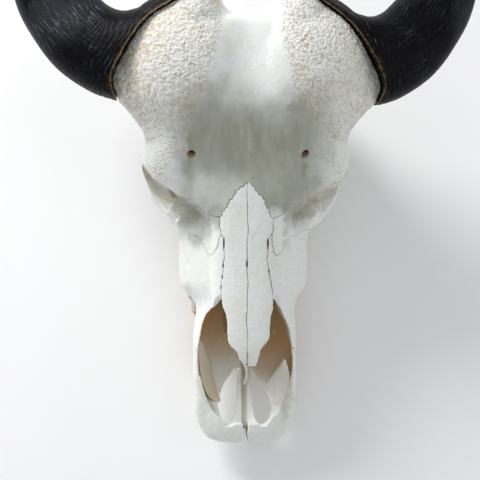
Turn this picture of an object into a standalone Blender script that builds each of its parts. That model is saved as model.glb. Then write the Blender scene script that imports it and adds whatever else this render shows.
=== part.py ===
"""A cape buffalo skull with its horn sheaths and no lower jaw, life size, lying as it rests on a floor.

Every form is laid out in the face frame: +X to the skull's left as the viewer sees it on the right, +Y from the
nose to the crest, +Z straight out of the forehead, with the origin where the nasal bones meet the frontal bones.
The whole skull is then tipped about X, so that the cheek teeth and the two processes beside the occipital
condyles stand on the floor at Z = 0. Lengths are in millimetres up to the mesh, which is in metres.
"""

import math

import bmesh
import bpy
import numpy as np
from mathutils import Matrix, Vector

MM = 0.001

# Driving dimensions of the skull, in millimetres
SKULL_LENGTH = 503.0  # from the crest notch to the front of the premaxillae
CREST_Y = 195.0
PREMAXILLA_Y = CREST_Y - SKULL_LENGTH
NASAL_LENGTH = 214.0
ROOF_THICKNESS = 5.5  # of the nasal bones
PALATE_SLOPE = math.radians(15.0)  # between the palate and the line of the face
PALATE_FRONT_Z = -76.0  # underside of the premaxillae at their front
TOOTH_HEIGHT = 22.0
TOOTH_ROOT = 9.0
TOOTH_ROW_START = -168.0
SUTURE_GAP = 0.3
NASAL_DEPTH = 35.0  # how far below the face the nasal bones are parted from their neighbours
LACRIMAL_DEPTH = 74.0
CHEEKBONE_DEPTH = 126.0
SHEATH_LIP = 5.5  # how far the horn sheath stands out from the bone at its rim
LEFT_HORN_SPREAD = 4.0  # the two horns aren't quite alike
RIGHT_HORN_SPREAD = 1.5
LEFT_HORN_DROP = 4.5  # how much nearer to the nose the left horn sits
FOREHEAD_RISE = 26.0  # of the lobes and the horns above the line of the nasal bones
RISE_FOCUS = np.array((-133.0, -66.7, 1896.0))  # the point high over the face where the lines of that rise meet

# Resolution of the solids
FORM_VOXEL = 3.2
FORM_SMOOTHING = 7
SKULL_TRIANGLES = 4600
SHEATH_VOXEL = 4.5
SHEATH_TRIANGLES = 700


def palate_z(y):
    """Level of the bony palate in the face frame at y."""
    return PALATE_FRONT_Z - (y - PREMAXILLA_Y) * math.tan(PALATE_SLOPE)


def floor_z(y):
    """Level of the floor under the skull in the face frame at y."""
    return palate_z(y) - TOOTH_HEIGHT / math.cos(PALATE_SLOPE)


def clear_scene():
    for old in list(bpy.data.objects):
        bpy.data.objects.remove(old)


def smooth_rows(rows, steps):
    """A smooth curve through the rows, each a tuple of numbers, with the given steps between rows."""
    rows = np.array(rows, float)
    padded = np.vstack([2 * rows[0] - rows[1], rows, 2 * rows[-1] - rows[-2]])
    out = []
    for i in range(1, len(padded) - 2):
        before, start, end, after = padded[i - 1 : i + 3]
        for step in range(steps):
            t = step / steps
            out.append(
                0.5
                * (
                    2 * start
                    + (end - before) * t
                    + (2 * before - 5 * start + 4 * end - after) * t**2
                    + (3 * start - before - 3 * end + after) * t**3
                )
            )
    out.append(padded[-2])
    return np.array(out)


def new_object(name, mesh_data):
    obj = bpy.data.objects.new(name, mesh_data)
    bpy.context.scene.collection.objects.link(obj)
    return obj


def object_from_rings(name, rings):
    """A closed body through rings of points, each a (count, 3) array in millimetres, with fan caps."""
    bm = bmesh.new()
    count = len(rings[0])
    layers = [[bm.verts.new(Vector(p) * MM) for p in ring] for ring in rings]
    for lower, upper in zip(layers, layers[1:]):
        for i in range(count):
            j = (i + 1) % count
            bm.faces.new((lower[i], lower[j], upper[j], upper[i]))
    for layer, ring in ((layers[0], rings[0]), (layers[-1], rings[-1])):
        centre = bm.verts.new(Vector(np.mean(ring, axis=0)) * MM)
        for i in range(count):
            bm.faces.new((layer[i], layer[(i + 1) % count], centre))
    bmesh.ops.recalc_face_normals(bm, faces=bm.faces)
    mesh_data = bpy.data.meshes.new(name)
    bm.to_mesh(mesh_data)
    bm.free()
    return new_object(name, mesh_data)


def oval(square, count):
    """Points round an oval of unit half sizes, which nears a rectangle as square rises above 2."""
    angle = np.arange(count) * 2 * np.pi / count
    across = np.sign(np.cos(angle)) * np.abs(np.cos(angle)) ** (2 / square)
    up = np.sign(np.sin(angle)) * np.abs(np.sin(angle)) ** (2 / square)
    return across, up


def section(top_half, middle_half, base_half, top_z, middle_z, base_z, square, count):
    """A rounded outline in X and Z, which may be narrower at its top and base than in its middle."""
    across, up = oval(square, count)
    above, below = np.maximum(up, 0), np.maximum(-up, 0)
    half = middle_half + (top_half - middle_half) * above**1.5 + (base_half - middle_half) * below**1.5
    z = middle_z + (top_z - middle_z) * above - (middle_z - base_z) * below
    return across * half, z


def lofted(name, stations, square=2.6, steps=4, count=32):
    """A body along Y. A station is y, then the half widths and levels that section takes."""
    rings = []
    for y, *sizes in smooth_rows(stations, steps):
        x, z = section(*sizes, square, count)
        rings.append(np.column_stack([x, np.full(count, y), z]))
    return object_from_rings(name, rings)


def swept(name, stations, across, steps=5, count=16, square=2.0):
    """A body along a path. A station is x, y, z, then the half sizes along across and square to it."""
    path = smooth_rows(stations, steps)
    wide, high = oval(square, count)
    rings = []
    for i, (x, y, z, half_across, half_other) in enumerate(path):
        before, after = path[max(i - 1, 0)], path[min(i + 1, len(path) - 1)]
        along = Vector(after[:3] - before[:3]).normalized()
        other = along.cross(Vector(across)).normalized()
        side = other.cross(along).normalized()
        rings.append(
            np.array([x, y, z])
            + np.outer(wide * half_across, side)
            + np.outer(high * half_other, other)
        )
    return object_from_rings(name, rings)


def ball(name, centre, radii, turn=(0, 0, 0)):
    """An ellipsoid, turned by degrees about X, Y and Z."""
    bm = bmesh.new()
    bmesh.ops.create_uvsphere(bm, u_segments=24, v_segments=14, radius=1.0)
    place = Matrix.LocRotScale(
        Vector(centre) * MM,
        Matrix.Rotation(math.radians(turn[2]), 3, "Z")
        @ Matrix.Rotation(math.radians(turn[1]), 3, "Y")
        @ Matrix.Rotation(math.radians(turn[0]), 3, "X"),
        Vector(radii) * MM,
    )
    bmesh.ops.transform(bm, matrix=place, verts=bm.verts)
    bmesh.ops.recalc_face_normals(bm, faces=bm.faces)
    mesh_data = bpy.data.meshes.new(name)
    bm.to_mesh(mesh_data)
    bm.free()
    return new_object(name, mesh_data)


def prism(name, outline, low, high, axis):
    """A closed outline drawn out along axis. The outline is in X and Y for axis Z, and in Y and Z for axis X."""
    rings = []
    for level in (low, high):
        if axis == "Z":
            rings.append(np.array([(a, b, level) for a, b in outline]))
        else:
            rings.append(np.array([(level, a, b) for a, b in outline]))
    bm = bmesh.new()
    layers = [[bm.verts.new(Vector(p) * MM) for p in ring] for ring in rings]
    count = len(outline)
    for i in range(count):
        j = (i + 1) % count
        bm.faces.new((layers[0][i], layers[0][j], layers[1][j], layers[1][i]))
    bm.faces.new(layers[0])
    bm.faces.new(layers[1])
    bmesh.ops.recalc_face_normals(bm, faces=bm.faces)
    mesh_data = bpy.data.meshes.new(name)
    bm.to_mesh(mesh_data)
    bm.free()
    return new_object(name, mesh_data)


def block(name, low, high):
    outline = ((low[0], low[1]), (high[0], low[1]), (high[0], high[1]), (low[0], high[1]))
    return prism(name, outline, low[2], high[2], "Z")


def apply_modifiers(obj):
    graph = bpy.context.evaluated_depsgraph_get()
    mesh_data = bpy.data.meshes.new_from_object(obj.evaluated_get(graph))
    obj.modifiers.clear()
    obj.data = mesh_data
    return obj


def remove(*objects):
    for obj in objects:
        bpy.data.objects.remove(obj)


def copy_of(obj, name):
    twin = obj.copy()
    twin.data = obj.data.copy()
    twin.name = name
    bpy.context.scene.collection.objects.link(twin)
    return twin


def mirrored(obj, name):
    """A copy of the object on the other side of the midline, with its faces still pointing out."""
    twin = copy_of(obj, name)
    twin.data.transform(Matrix.Scale(-1, 4, (1, 0, 0)))
    twin.data.flip_normals()
    return twin


def boolean(obj, other, operation, solver="MANIFOLD"):
    modifier = obj.modifiers.new(operation.lower(), "BOOLEAN")
    modifier.operation = operation
    modifier.solver = solver
    modifier.object = other
    return apply_modifiers(obj)


def cut(obj, *cutters):
    for cutter in cutters:
        boolean(obj, cutter, "DIFFERENCE")
        remove(cutter)
    return obj


def grown(obj, by):
    """The object with each face moved out by a distance in millimetres."""
    bm = bmesh.new()
    bm.from_mesh(obj.data)
    bm.normal_update()
    moves = [vert.normal * vert.calc_shell_factor() * by * MM for vert in bm.verts]
    for vert, move in zip(bm.verts, moves):
        vert.co += move
    bm.to_mesh(obj.data)
    bm.free()
    return obj


def keep_largest(obj):
    """Drops every surface of the object but the one that encloses most, and splits its faces into triangles."""
    bm = bmesh.new()
    bm.from_mesh(obj.data)
    bmesh.ops.triangulate(bm, faces=bm.faces)
    unseen = set(bm.verts)
    bodies = []
    while unseen:
        body = [unseen.pop()]
        for vert in body:
            for edge in vert.link_edges:
                other = edge.other_vert(vert)
                if other in unseen:
                    unseen.remove(other)
                    body.append(other)
        faces = {face for vert in body for face in vert.link_faces}
        volume = sum(f.verts[0].co.dot(f.verts[1].co.cross(f.verts[2].co)) for f in faces)
        bodies.append((volume, body))
    bodies.sort(key=lambda pair: pair[0])
    scraps = [vert for _, body in bodies[:-1] for vert in body]
    bmesh.ops.delete(bm, geom=scraps, context="VERTS")
    bm.to_mesh(obj.data)
    bm.free()
    return obj


def merged(name, forms, voxel, smoothing):
    """The forms joined into one skin on a voxel grid, and smoothed so that they run into each other."""
    bm = bmesh.new()
    for form in forms:
        bm.from_mesh(form.data)
    mesh_data = bpy.data.meshes.new(name)
    bm.to_mesh(mesh_data)
    bm.free()
    remove(*forms)
    obj = new_object(name, mesh_data)
    remesh = obj.modifiers.new("skin", "REMESH")
    remesh.mode = "VOXEL"
    remesh.voxel_size = voxel * MM
    smooth = obj.modifiers.new("smooth", "SMOOTH")
    smooth.factor = 0.5
    smooth.iterations = smoothing
    return apply_modifiers(obj)


def thinned(obj, triangles):
    """Fewer faces, most of them where the surface bends."""
    obj.data.calc_loop_triangles()
    modifier = obj.modifiers.new("thin", "DECIMATE")
    modifier.ratio = min(1.0, triangles / len(obj.data.loop_triangles))
    return apply_modifiers(obj)


def smooth_step(values, low, high):
    t = np.clip((values - low) / (high - low), 0, 1)
    return t * t * (3 - 2 * t)


def rise_at(points):
    """How far the skull rises above the line of the nose, from the nasal root up to the lobes and the horns."""
    x, y, z = points.T
    share = np.maximum(smooth_step(np.abs(x), 105, 150), smooth_step(z, -115, -45))
    return FOREHEAD_RISE * smooth_step(y, 0, 95) * share


def dropped(points):
    """Points in millimetres as the skull carries them: the root of the left horn lies nearer to the nose, and all
    behind the nasal root rises. Points in plan are taken at the level of the rim of the horns."""
    out = np.array(points, float)
    flat = out.shape[1] == 2
    if flat:
        out = np.column_stack([out, np.full(len(out), -20.0)])
    out[:, 1] -= LEFT_HORN_DROP * smooth_step(out[:, 0], 70, 140) * smooth_step(out[:, 1], 60, 110)
    out += (RISE_FOCUS - out) * (rise_at(out) / RISE_FOCUS[2])[:, None]
    return out[:, :2] if flat else out


def shaped(obj, features):
    """Raises or sinks soft places of the surface. A feature is its centre, its radii and its push, in millimetres."""
    points = np.empty(len(obj.data.vertices) * 3)
    obj.data.vertices.foreach_get("co", points)
    points = points.reshape(-1, 3) / MM
    moved = dropped(points)
    for centre, radii, push in features:
        distance = (((points - np.array(centre)) / np.array(radii)) ** 2).sum(axis=1)
        moved += np.exp(-distance)[:, None] * np.array(push)
    obj.data.vertices.foreach_set("co", (moved * MM).ravel())
    obj.data.update()
    return obj


def both_sides(make, *arguments, **named):
    """The form that make builds, and its mirror image."""
    first = make(*arguments, **named)
    return [first, mirrored(first, first.name + "_mirror")]


ROOF = [
    # y, half width, height of the ridge: the arched roof that the two nasal bones make
    (-224, 30, -23),
    (-212, 38, -16),
    (-195, 39, -11),
    (-165, 40, -8.5),
    (-130, 42, -7),
    (-90, 42, -6),
    (-50, 44, -3),
    (-15, 50, -1.5),
    (12, 52, -2),
]


def roof(name, inset, steps=4, count=32):
    """The nasal roof, or with an inset the hollow that lies under it."""
    stations = [
        (y, half - inset, half - inset, half - inset, ridge - inset, -32, -40) for y, half, ridge in ROOF
    ]
    return lofted(name, stations, square=2.6, steps=steps, count=count)


def face_forms():
    """The snout from the premaxillae to the orbits: its outer shape, with the nasal roof still closed."""
    stations = [
        (PREMAXILLA_Y, 20, 28, 24, -62, -67, -73),
        (-303, 34, 43, 37, -57, -66, -78),
        (-292, 44, 53, 46, -53, -68, -82),
        (-275, 50, 59.5, 50, -50, -70, -85),
        (-250, 50, 61.5, 50, -44, -74, palate_z(-250)),
        (-225, 50, 62, 48, -38, -76, palate_z(-225)),
        (-205, 48, 62, 47, -30, -78, palate_z(-205)),
        (-180, 42, 62, 48, -20, -80, palate_z(-180)),
        (-150, 34, 61.5, 58, -11, -86, palate_z(-150) - 3),
        (-138, 33, 64, 65, -9.5, -92, palate_z(-138) - 4),
        (-127, 33, 71, 70, -8.5, -96, palate_z(-127) - 4),
        (-118, 33, 75.5, 71, -7.5, -99, palate_z(-118) - 5),
        (-85, 34, 77, 72, -5, -102, palate_z(-85) - 5),
        (-55, 38, 79, 71, -3, -102, palate_z(-55) - 5),
        (-30, 48, 76, 69, -2, -102, palate_z(-30) - 4),
        (-8, 60, 66, 58, -2, -92, palate_z(-8) + 6),
        (15, 60, 60, 40, -2, -80, -128),
    ]
    return [lofted("snout", stations, square=2.5), roof("roof", 0)]


def vault_forms():
    """The frontal shelf, the braincase under it and the two swollen lobes that carry the horns."""
    shelf = [
        (-48, 20, 42, 30, -3, -28, -60),
        (-30, 40, 62, 50, -2, -30, -62),
        (-12, 58, 82, 62, -2, -30, -60),
        (2, 76, 104, 76, -2, -32, -60),
        (14, 88, 119, 84, -2, -36, -62),
        (27, 90, 123, 86, -1, -38, -64),
        (46, 90, 119, 84, 0, -38, -66),
        (62, 94, 123, 86, 1, -38, -70),
        (84, 104, 140, 98, 2, -40, -76),
        (94, 112, 149, 102, 2.5, -40, -78),
        (106, 120, 163, 108, 3, -40, -80),
        (140, 118, 162, 106, 3, -40, -82),
        (170, 96, 134, 92, 1, -40, -82),
        (188, 70, 96, 76, -3, -40, -78),
        (196, 30, 50, 40, -12, -42, -70),
    ]
    braincase = [
        (-25, 40, 52, 42, -40, -90, -132),
        (10, 50, 52, 34, -36, -90, -134),
        (45, 60, 58, 32, -34, -90, -143),
        (80, 72, 66, 34, -34, -92, -156),
        (110, 84, 76, 40, -36, -100, -168),
        (135, 84, 80, 44, -40, -104, -176),
        (150, 70, 64, 40, -46, -104, -172),
    ]
    forms = [lofted("shelf", shelf, square=2.7), lofted("braincase", braincase, square=2.4)]
    forms += both_sides(ball, "lobe", (73, 142, -36), (78, 80, 49), turn=(0, 6, 32))
    forms += both_sides(ball, "lobe_top", (62, 190, -38), (39, 44, 42))
    return forms


def occiput_forms():
    """The nape: its broad plate, the condyles, the processes beside them and the ear capsules."""
    forms = [ball("nape", (0, 132, -104), (100, 27, 66))]
    forms += both_sides(ball, "mastoid", (82, 120, -128), (20, 24, 36), turn=(0, 12, 0))
    forms += both_sides(ball, "nape_base", (44, 138, -152), (34, 18, 34))
    forms += both_sides(ball, "condyle", (27, 154, -170), (21, 19, 28), turn=(0, -22, 0))
    foot = floor_z(132)
    process = [
        (66, 118, -140, 13, 22),
        (67, 124, -166, 11, 19),
        (65, 130, -190, 8.5, 15),
        (62, 133, foot - 1, 7.5, 11),
        (61, 134, foot - 7, 6, 9),
    ]
    forms += both_sides(swept, "paracondylar", process, across=(1, 0, 0))
    forms += both_sides(ball, "ear_capsule", (43, 92, -170), (14, 21, 17))
    base = [
        (0, 20, -132, 15, 12),
        (0, 60, -146, 17, 12),
        (0, 100, -166, 21, 12),
        (0, 140, -180, 22, 12),
    ]
    forms.append(swept("skull_base", base, across=(1, 0, 0)))
    wing = [
        (26, -14, -140, 5, 20),
        (24, 8, -142, 4, 18),
        (20, 32, -142, 4, 14),
        (17, 54, -146, 4, 9),
    ]
    forms += both_sides(swept, "pterygoid", wing, across=(1, 0, 0))
    return forms


ORBIT_CENTRE = Vector((107, -6, -66))
ORBIT_AXIS = Vector((0.90, -0.41, 0.15)).normalized()


def along_orbit(side, stations):
    """Stations on the axis of the orbit: each is a distance out from the plane of its rim, then a radius."""
    path = []
    for out, radius in stations:
        spot = ORBIT_CENTRE + ORBIT_AXIS * out
        path.append((side * spot.x, spot.y, spot.z, radius, radius))
    return path


def cheek_forms():
    """The cup of the orbit, the cheekbone, the bar behind the orbit and the arch back to the jaw joint."""
    cup = [(-58, 26), (-40, 34), (-20, 38), (-6, 38.5), (-1, 37.5), (1.5, 35.5)]
    forms = both_sides(swept, "orbit_cup", along_orbit(1, cup), across=(0, 0, 1), steps=3, count=28)
    cheek = [
        (58, -84, -98, 8, 17),
        (66, -66, -98, 9, 22),
        (80, -46, -97, 10, 22),
        (95, -28, -100, 9.5, 18),
        (107, -8, -104, 9, 15),
        (110, 20, -108, 7, 12),
        (108, 50, -113, 6, 11),
        (100, 80, -118, 6, 11),
        (86, 102, -122, 8, 11),
        (68, 116, -122, 12, 13),
    ]
    forms += both_sides(swept, "cheek", cheek, across=(0.9, -0.4, 0), square=1.5)
    forms += both_sides(ball, "lacrimal_swelling", (70, -36, -60), (19, 22, 24))
    forms += both_sides(ball, "jaw_joint", (72, 92, -136), (27, 15, 10))
    return forms


SURFACE_FEATURES = [
    # centre, radii, push: the valley between the lobes, and the step below them
    ((0, 165, 0), (24, 90, 60), (0, 0, -7)),
    ((66, 66, -4), (44, 24, 40), (0, 0, -7)),
    ((-66, 66, -4), (44, 24, 40), (0, 0, -7)),
    # the sunken forehead below the lobes
    ((0, 34, -4), (66, 38, 40), (0, 0, -7)),
    # the groove that runs down from the supraorbital hole
    ((66, 4, -4), (9, 34, 40), (0, 0, -5)),
    ((-66, 4, -4), (9, 34, 40), (0, 0, -5)),
    # the swollen roof of the orbit
    ((96, 26, -20), (22, 30, 30), (2, 0, 5)),
    ((-96, 26, -20), (22, 30, 30), (-2, 0, 5)),
    # the sunken place in front of the orbit, and the face tuber above the teeth
    ((62, -58, -50), (20, 26, 40), (-5, 0, -5)),
    ((-62, -58, -50), (20, 26, 40), (5, 0, -5)),
    ((78, -120, -104), (20, 14, 22), (1.5, 0, 0)),
    ((-78, -120, -104), (20, 14, 22), (-1.5, 0, 0)),
    # the right cheek and the right of the snout, a little flatter than the left
    ((-108, -36, -96), (20, 26, 34), (6, 0, 0)),
    ((-62, -150, -84), (16, 18, 40), (4, 0, 0)),
    # the vault of the palate between the tooth rows
    ((0, -90, palate_z(-90)), (34, 90, 30), (0, 0, 9)),
]


def nasal_cutter(name, side):
    """One nasal bone from above: a pointed arch at the forehead, a waist, and a stepped tip over the nose."""
    half_widths = [
        (0.0, 1.0),
        (-8.0, 9.0),
        (-20.0, 21.0),
        (-33.0, 31.0),
        (-42.0, 33.0),
        (-55.0, 31.0),
        (-67.0, 28.5),
        (-80.0, 25.5),
        (-100.0, 26.5),
        (-132.0, 31.0),
        (-152.0, 29.0),
        (-172.0, 25.5),
        (-188.0, 23.5),
        (-194.0, 18.0),
        (-202.0, 13.5),
        (-211.0, 9.5),
        (-NASAL_LENGTH, 3.0),
    ]
    inner = SUTURE_GAP / 2
    outline = [(inner, 0)] + [(width, y) for y, width in half_widths] + [(inner, -NASAL_LENGTH)]
    return prism(name, [(side * x, y) for x, y in outline], -NASAL_DEPTH, 60, "Z")


def nose_cavity():
    """The hollow of the nose, from the front of its opening to behind the nasal bones."""
    stations = [
        (-284, 14, 18, 10, -22, -62, -77),
        (-272, 40, 36, 22, -22, -64, -79),
        (-250, 53, 47, 30, -22, -68, palate_z(-250) + 8),
        (-225, 55, 54, 36, -22, -72, palate_z(-225) + 8),
        (-205, 56, 55, 40, -22, -74, palate_z(-205) + 9),
        (-180, 50, 55, 40, -21, -76, palate_z(-180) + 10),
        (-150, 34, 54, 38, -20, -78, palate_z(-150) + 12),
        (-125, 28, 50, 34, -20, -80, palate_z(-125) + 14),
        (-85, 26, 48, 32, -20, -80, palate_z(-85) + 16),
        (-50, 24, 36, 28, -22, -76, palate_z(-50) + 20),
        (-28, 18, 24, 20, -24, -70, -118),
    ]
    return lofted("nose_cavity", stations, square=2.8, steps=2, count=16)


def roof_hollow():
    """The space right under the nasal bones, which ends in front of the forehead."""
    hollow = roof("roof_hollow", ROOF_THICKNESS, steps=2, count=20)
    behind = block("behind", (-80, -24, -60), (80, 40, 20))
    boolean(hollow, behind, "DIFFERENCE")
    remove(behind)
    ahead = ball("ahead", (0, -216, -30), (34, 14, 9.5))
    boolean(hollow, ahead, "UNION")
    remove(ahead)
    return hollow


NOSE_MARGIN = {
    # the rim of the nose from above, from the nasal bone down to the snout, for the left (1) and the right side
    1: [(31.1, -138), (41.1, -153), (50, -172), (53.9, -196), (55.4, -208), (55, -222)],
    -1: [(31.5, -137), (46.2, -154), (52.3, -174.3), (56.2, -200.4), (56.7, -213.6), (55.5, -228)],
}


def nose_opening():
    """What is cut away round the nose: all above its rim from the side, and all inside its rim from above."""
    rim = smooth_rows([(-130, -13), (-138, -20), (-156, -30), (-185, -37), (-225, -43), (-262, -47), (-290, -50)], 3)
    outline = [tuple(p) for p in rim] + [(-325, -50), (-325, 70), (-130, 70)]
    above = prism("above", outline, -90, 90, "X")
    right = [(-x, y) for x, y in smooth_rows(NOSE_MARGIN[-1], 2)]
    left = [(x, y) for x, y in smooth_rows(NOSE_MARGIN[1], 2)]
    inside = prism("inside", [(-20, -131), *right, (-40, -235), (40, -235), *left[::-1], (20, -131)], -62, 70, "Z")
    for side in (1, -1):
        for cutter in (above, inside):
            cut(cutter, nasal_cutter("keep", side))
    return [above, inside]


FISSURE = {
    # the long hole through the palate, round from its back end along the middle bar
    1: [
        (6.7, -219),
        (8.1, -235.5),
        (9.9, -253.5),
        (11.7, -273.9),
        (20.7, -287.1),
        (27.9, -282.3),
        (31.5, -267),
        (27.9, -250.8),
        (17.7, -233.9),
    ],
    -1: [
        (10.5, -217.5),
        (8.1, -236.4),
        (9.9, -259.2),
        (11.7, -277.3),
        (22, -286.9),
        (28, -281),
        (32, -260),
        (23.2, -237.6),
        (14.8, -227),
    ],
}


def fissure(side):
    """The long hole through the palate beside the midline."""
    outline = smooth_rows(FISSURE[side] + FISSURE[side][:1], 2)[:-1]
    return prism("fissure", [(side * x, y) for x, y in outline], -120, -36, "Z")


BROW_LINE = {
    # the thin upper rim of the orbit from the temple to its inner corner, then the ragged edge of the lacrimal
    1: [(122, 30), (119, 22), (115, 9), (106, -2.5), (90, -9), (77, -14)],
    -1: [(126, 32), (124, 25), (113, 11), (106, 4), (97, -4), (79, -15)],
}
LACRIMAL_RIM = {
    1: [(77, -14), (86.4, -22), (90, -32), (79, -37), (77, -44), (75.6, -49)],
    -1: [(79, -15), (90.5, -30.5), (80, -37), (78, -42), (85, -49)],
}


def brow_cutter(side):
    """The open side of the orbit from above: nothing hangs over the cheekbone in front of the brow."""
    edge = BROW_LINE[side] + LACRIMAL_RIM[side][1:]
    depth = [-74] * len(edge) + [-82, -94, -90]
    rings = []
    for top in (True, False):
        level = [60 if top else low for low in depth]
        corners = edge + [(96, -62), (150, -50), (150, 30)]
        rings.append(np.array([(side * x, y, z) for (x, y), z in zip(corners, level)]))
    return object_from_rings("brow", rings)


CHEEK_NOTCH = {
    # where the cheekbone steps out from the side of the face, up from the line of the teeth
    1: [(77.5, -78), (78, -66.7), (78.8, -54.5), (84, -50.5), (88.5, -48.6), (95, -46.5)],
    -1: [(78.5, -78), (79, -62), (80, -52), (84, -48.5), (90, -46.4), (97, -46)],
}


def cheek_notch(side):
    """All beside the face below the front end of the cheekbone."""
    outline = CHEEK_NOTCH[side] + [(125, -60), (125, -80)]
    return prism("notch", [(side * x, y) for x, y in outline], -140, -20, "Z")


def openings():
    """Everything that is cut out of the whole skull before it is parted into bones."""
    cutters = []
    socket = [(22, 35), (6, 32), (-3, 31), (-14, 31), (-28, 26), (-40, 17), (-46, 8)]
    for side in (1, -1):
        cutters.append(swept("socket", along_orbit(side, socket), across=(0, 0, 1), steps=2, count=18))
        cutters.append(ball("temporal_fossa", (side * 90, 60, -86), (18, 27, 24), turn=(0, 0, side * 12)))
        cutters.append(brow_cutter(side))
        cutters.append(cheek_notch(side))
        hole = [(side * 65, 20, 2, 4.9, 3.4), (side * 66, 31, -11, 4.7, 3.4), (side * 66, 46, -29, 4, 3)]
        cutters.append(shaped(swept("supraorbital", hole, across=(1, 0, 0), steps=1, count=8), []))
        cutters.append(
            swept(
                "infraorbital",
                [
                    (side * 84, -172, -84, 5, 6),
                    (side * 64, -156, -84, 4.5, 5.5),
                    (side * 56, -140, -84, 3, 4),
                ],
                across=(0, 0, 1),
                steps=1,
                count=8,
            )
        )
        cutters.append(fissure(side))
    cutters.append(
        swept(
            "foramen_magnum",
            [
                (0, 186, -158, 19, 17),
                (0, 150, -150, 19, 17),
                (0, 118, -138, 18, 16),
                (0, 96, -128, 10, 9),
            ],
            across=(1, 0, 0),
            steps=2,
            count=14,
        )
    )
    cutters.append(
        swept(
            "choana",
            [
                (0, 14, -168, 19, 17),
                (0, -10, -142, 19, 15),
                (0, -34, -120, 17, 15),
            ],
            across=(1, 0, 0),
            steps=3,
            count=14,
        )
    )
    return cutters


def premaxilla_channel():
    """The groove between the two premaxillae, with a thin floor, and the notch at its front."""
    side_view = [(-294, palate_z(-294) + 2.5), (-150, palate_z(-150) + 3), (-150, -40), (-294, -40)]
    groove = prism("channel", side_view, -3.1, 2.7, "X")
    notch = prism("notch", [(-1.2, -292), (-4.6, -320), (4.6, -320), (1.2, -292)], -110, 0, "Z")
    return [groove, notch]


def rim_line():
    """Where the sheath begins, seen from the front: the outer edge of the bare bone."""
    return smooth_rows([(149, 95), (156, 116), (148, 140), (118, 186), (85, 209), (64, 224), (56, 270)], 3)


def sheath_side(name, side):
    """All that lies outside the rim of the sheath."""
    outline = [(300, 60)] + [tuple(p) for p in rim_line()] + [(300, 270)]
    return prism(name, dropped([(side * x, y) for x, y in outline]), -96, 120, "Z")


def bone_side(name, side):
    """All that lies inside the rim of the sheath."""
    outline = [(300, 60)] + [tuple(p) for p in rim_line()] + [(-40, 270), (-40, 0), (300, 0)]
    return prism(name, dropped([(side * x, y) for x, y in outline]), -220, 120, "Z")


def horn_loft(side):
    """The horn as it leaves the skull: a broad base, a droop outwards, then up and in to the tip."""
    stations = [
        # x, y, z of the middle, half width, half thickness, direction of the width in degrees
        (112, 155, -38, 68, 40, 120),
        (134, 155, -42, 61, 43, 116),
        (161, 155, -50, 51, 43, 114),
        (189, 171, -60, 47.5, 41, 130),
        (210, 195, -68, 45, 39, 146),
        (228, 223, -73, 42.5, 37, 158),
        (241, 262, -74, 38, 34, 169),
        (244, 306, -68, 32, 29, 182),
        (236, 350, -56, 26, 24, 196),
        (217, 391, -40, 19, 18, 212),
        (189, 424, -24, 12, 11.5, 228),
        (160, 443, -12, 5.5, 5.5, 238),
        (152, 446, -10, 3, 3, 240),
    ]
    wide, high = oval(2.4, 20)
    spread = LEFT_HORN_SPREAD if side > 0 else RIGHT_HORN_SPREAD
    rings = []
    for x, y, z, half_width, half_thick, heading in smooth_rows(stations, 3):
        along = np.array([math.cos(math.radians(heading)), math.sin(math.radians(heading)), 0])
        ring = np.array([x + spread, y, z]) + np.outer(wide * half_width, along)
        ring[:, 2] += high * half_thick
        ring[:, 0] *= side
        rings.append(dropped(ring))
    return object_from_rings("horn", rings)


def horn_sheath(name, side, skull):
    """The horn, whose rim follows the bone under it and stands a little proud of it."""
    base = grown(copy_of(skull, "sheath_base"), SHEATH_LIP)
    region = grown(sheath_side("region", side), 10)
    boolean(base, region, "INTERSECT")
    remove(region)
    sheath = merged(name, [horn_loft(side), base], SHEATH_VOXEL, 4)
    thinned(sheath, SHEATH_TRIANGLES)
    return cut(sheath, grown(bone_side("rim", side), SUTURE_GAP))


TEETH = [
    # length along the row, width, number of columns
    (17, 14, 1),
    (19, 17, 1),
    (19, 19, 1),
    (25, 22, 2),
    (29, 24, 2),
    (31, 23, 2),
]


def cheek_teeth(side):
    """The six cheek teeth of one side, each of one or two columns, worn flat at the floor."""
    teeth = []
    row = Vector((0, math.cos(PALATE_SLOPE), -math.sin(PALATE_SLOPE)))
    up = Vector((0, math.sin(PALATE_SLOPE), math.cos(PALATE_SLOPE)))
    first = Vector((0, TOOTH_ROW_START, palate_z(TOOTH_ROW_START)))
    travelled = 0.0
    for length, width, columns in TEETH:
        pitch = length / columns
        for column in range(columns):
            along = travelled + pitch * (column + 0.5)
            base = first + row * along
            base.x = side * (52 + 9 * math.sin(math.pi * along / 190))
            outward = Vector((side, 0, 0))
            root = base + up * TOOTH_ROOT - outward * 2
            worn = base - up * (TOOTH_HEIGHT + 6) + outward
            half_length = pitch * 0.5 + 0.4
            stations = [
                (*root, half_length, width * 0.44),
                (*base, half_length, width * 0.48),
                (*worn, half_length, width * 0.5),
            ]
            teeth.append(swept("tooth", stations, across=row, steps=1, count=8, square=3.2))
        travelled += length
    return teeth


def premaxilla_cutter(name, side):
    """All in front of the slanted suture that runs up to the rim of the nose."""
    outline = [(-330, -220), (-330, 60), (-150, 60), (-172, -33), (-225, -95), (-238, -220)]
    return prism(name, outline, side * SUTURE_GAP / 2, side * 120, "X")


def lacrimal_cutter(name, side):
    """The bone in front of the orbit, between the nasal bone and the cheekbone."""
    outline = [
        (30, -45),
        (27, -74),
        (33, -84),
        (42, -83),
        (46, -70),
        (54, -63),
        (66, -60),
        (90, -54),
        (90, -40),
        (82, -26),
        (64, -28),
        (44, -34),
    ]
    return prism(name, [(side * x, y) for x, y in outline], -LACRIMAL_DEPTH, 60, "Z")


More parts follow.
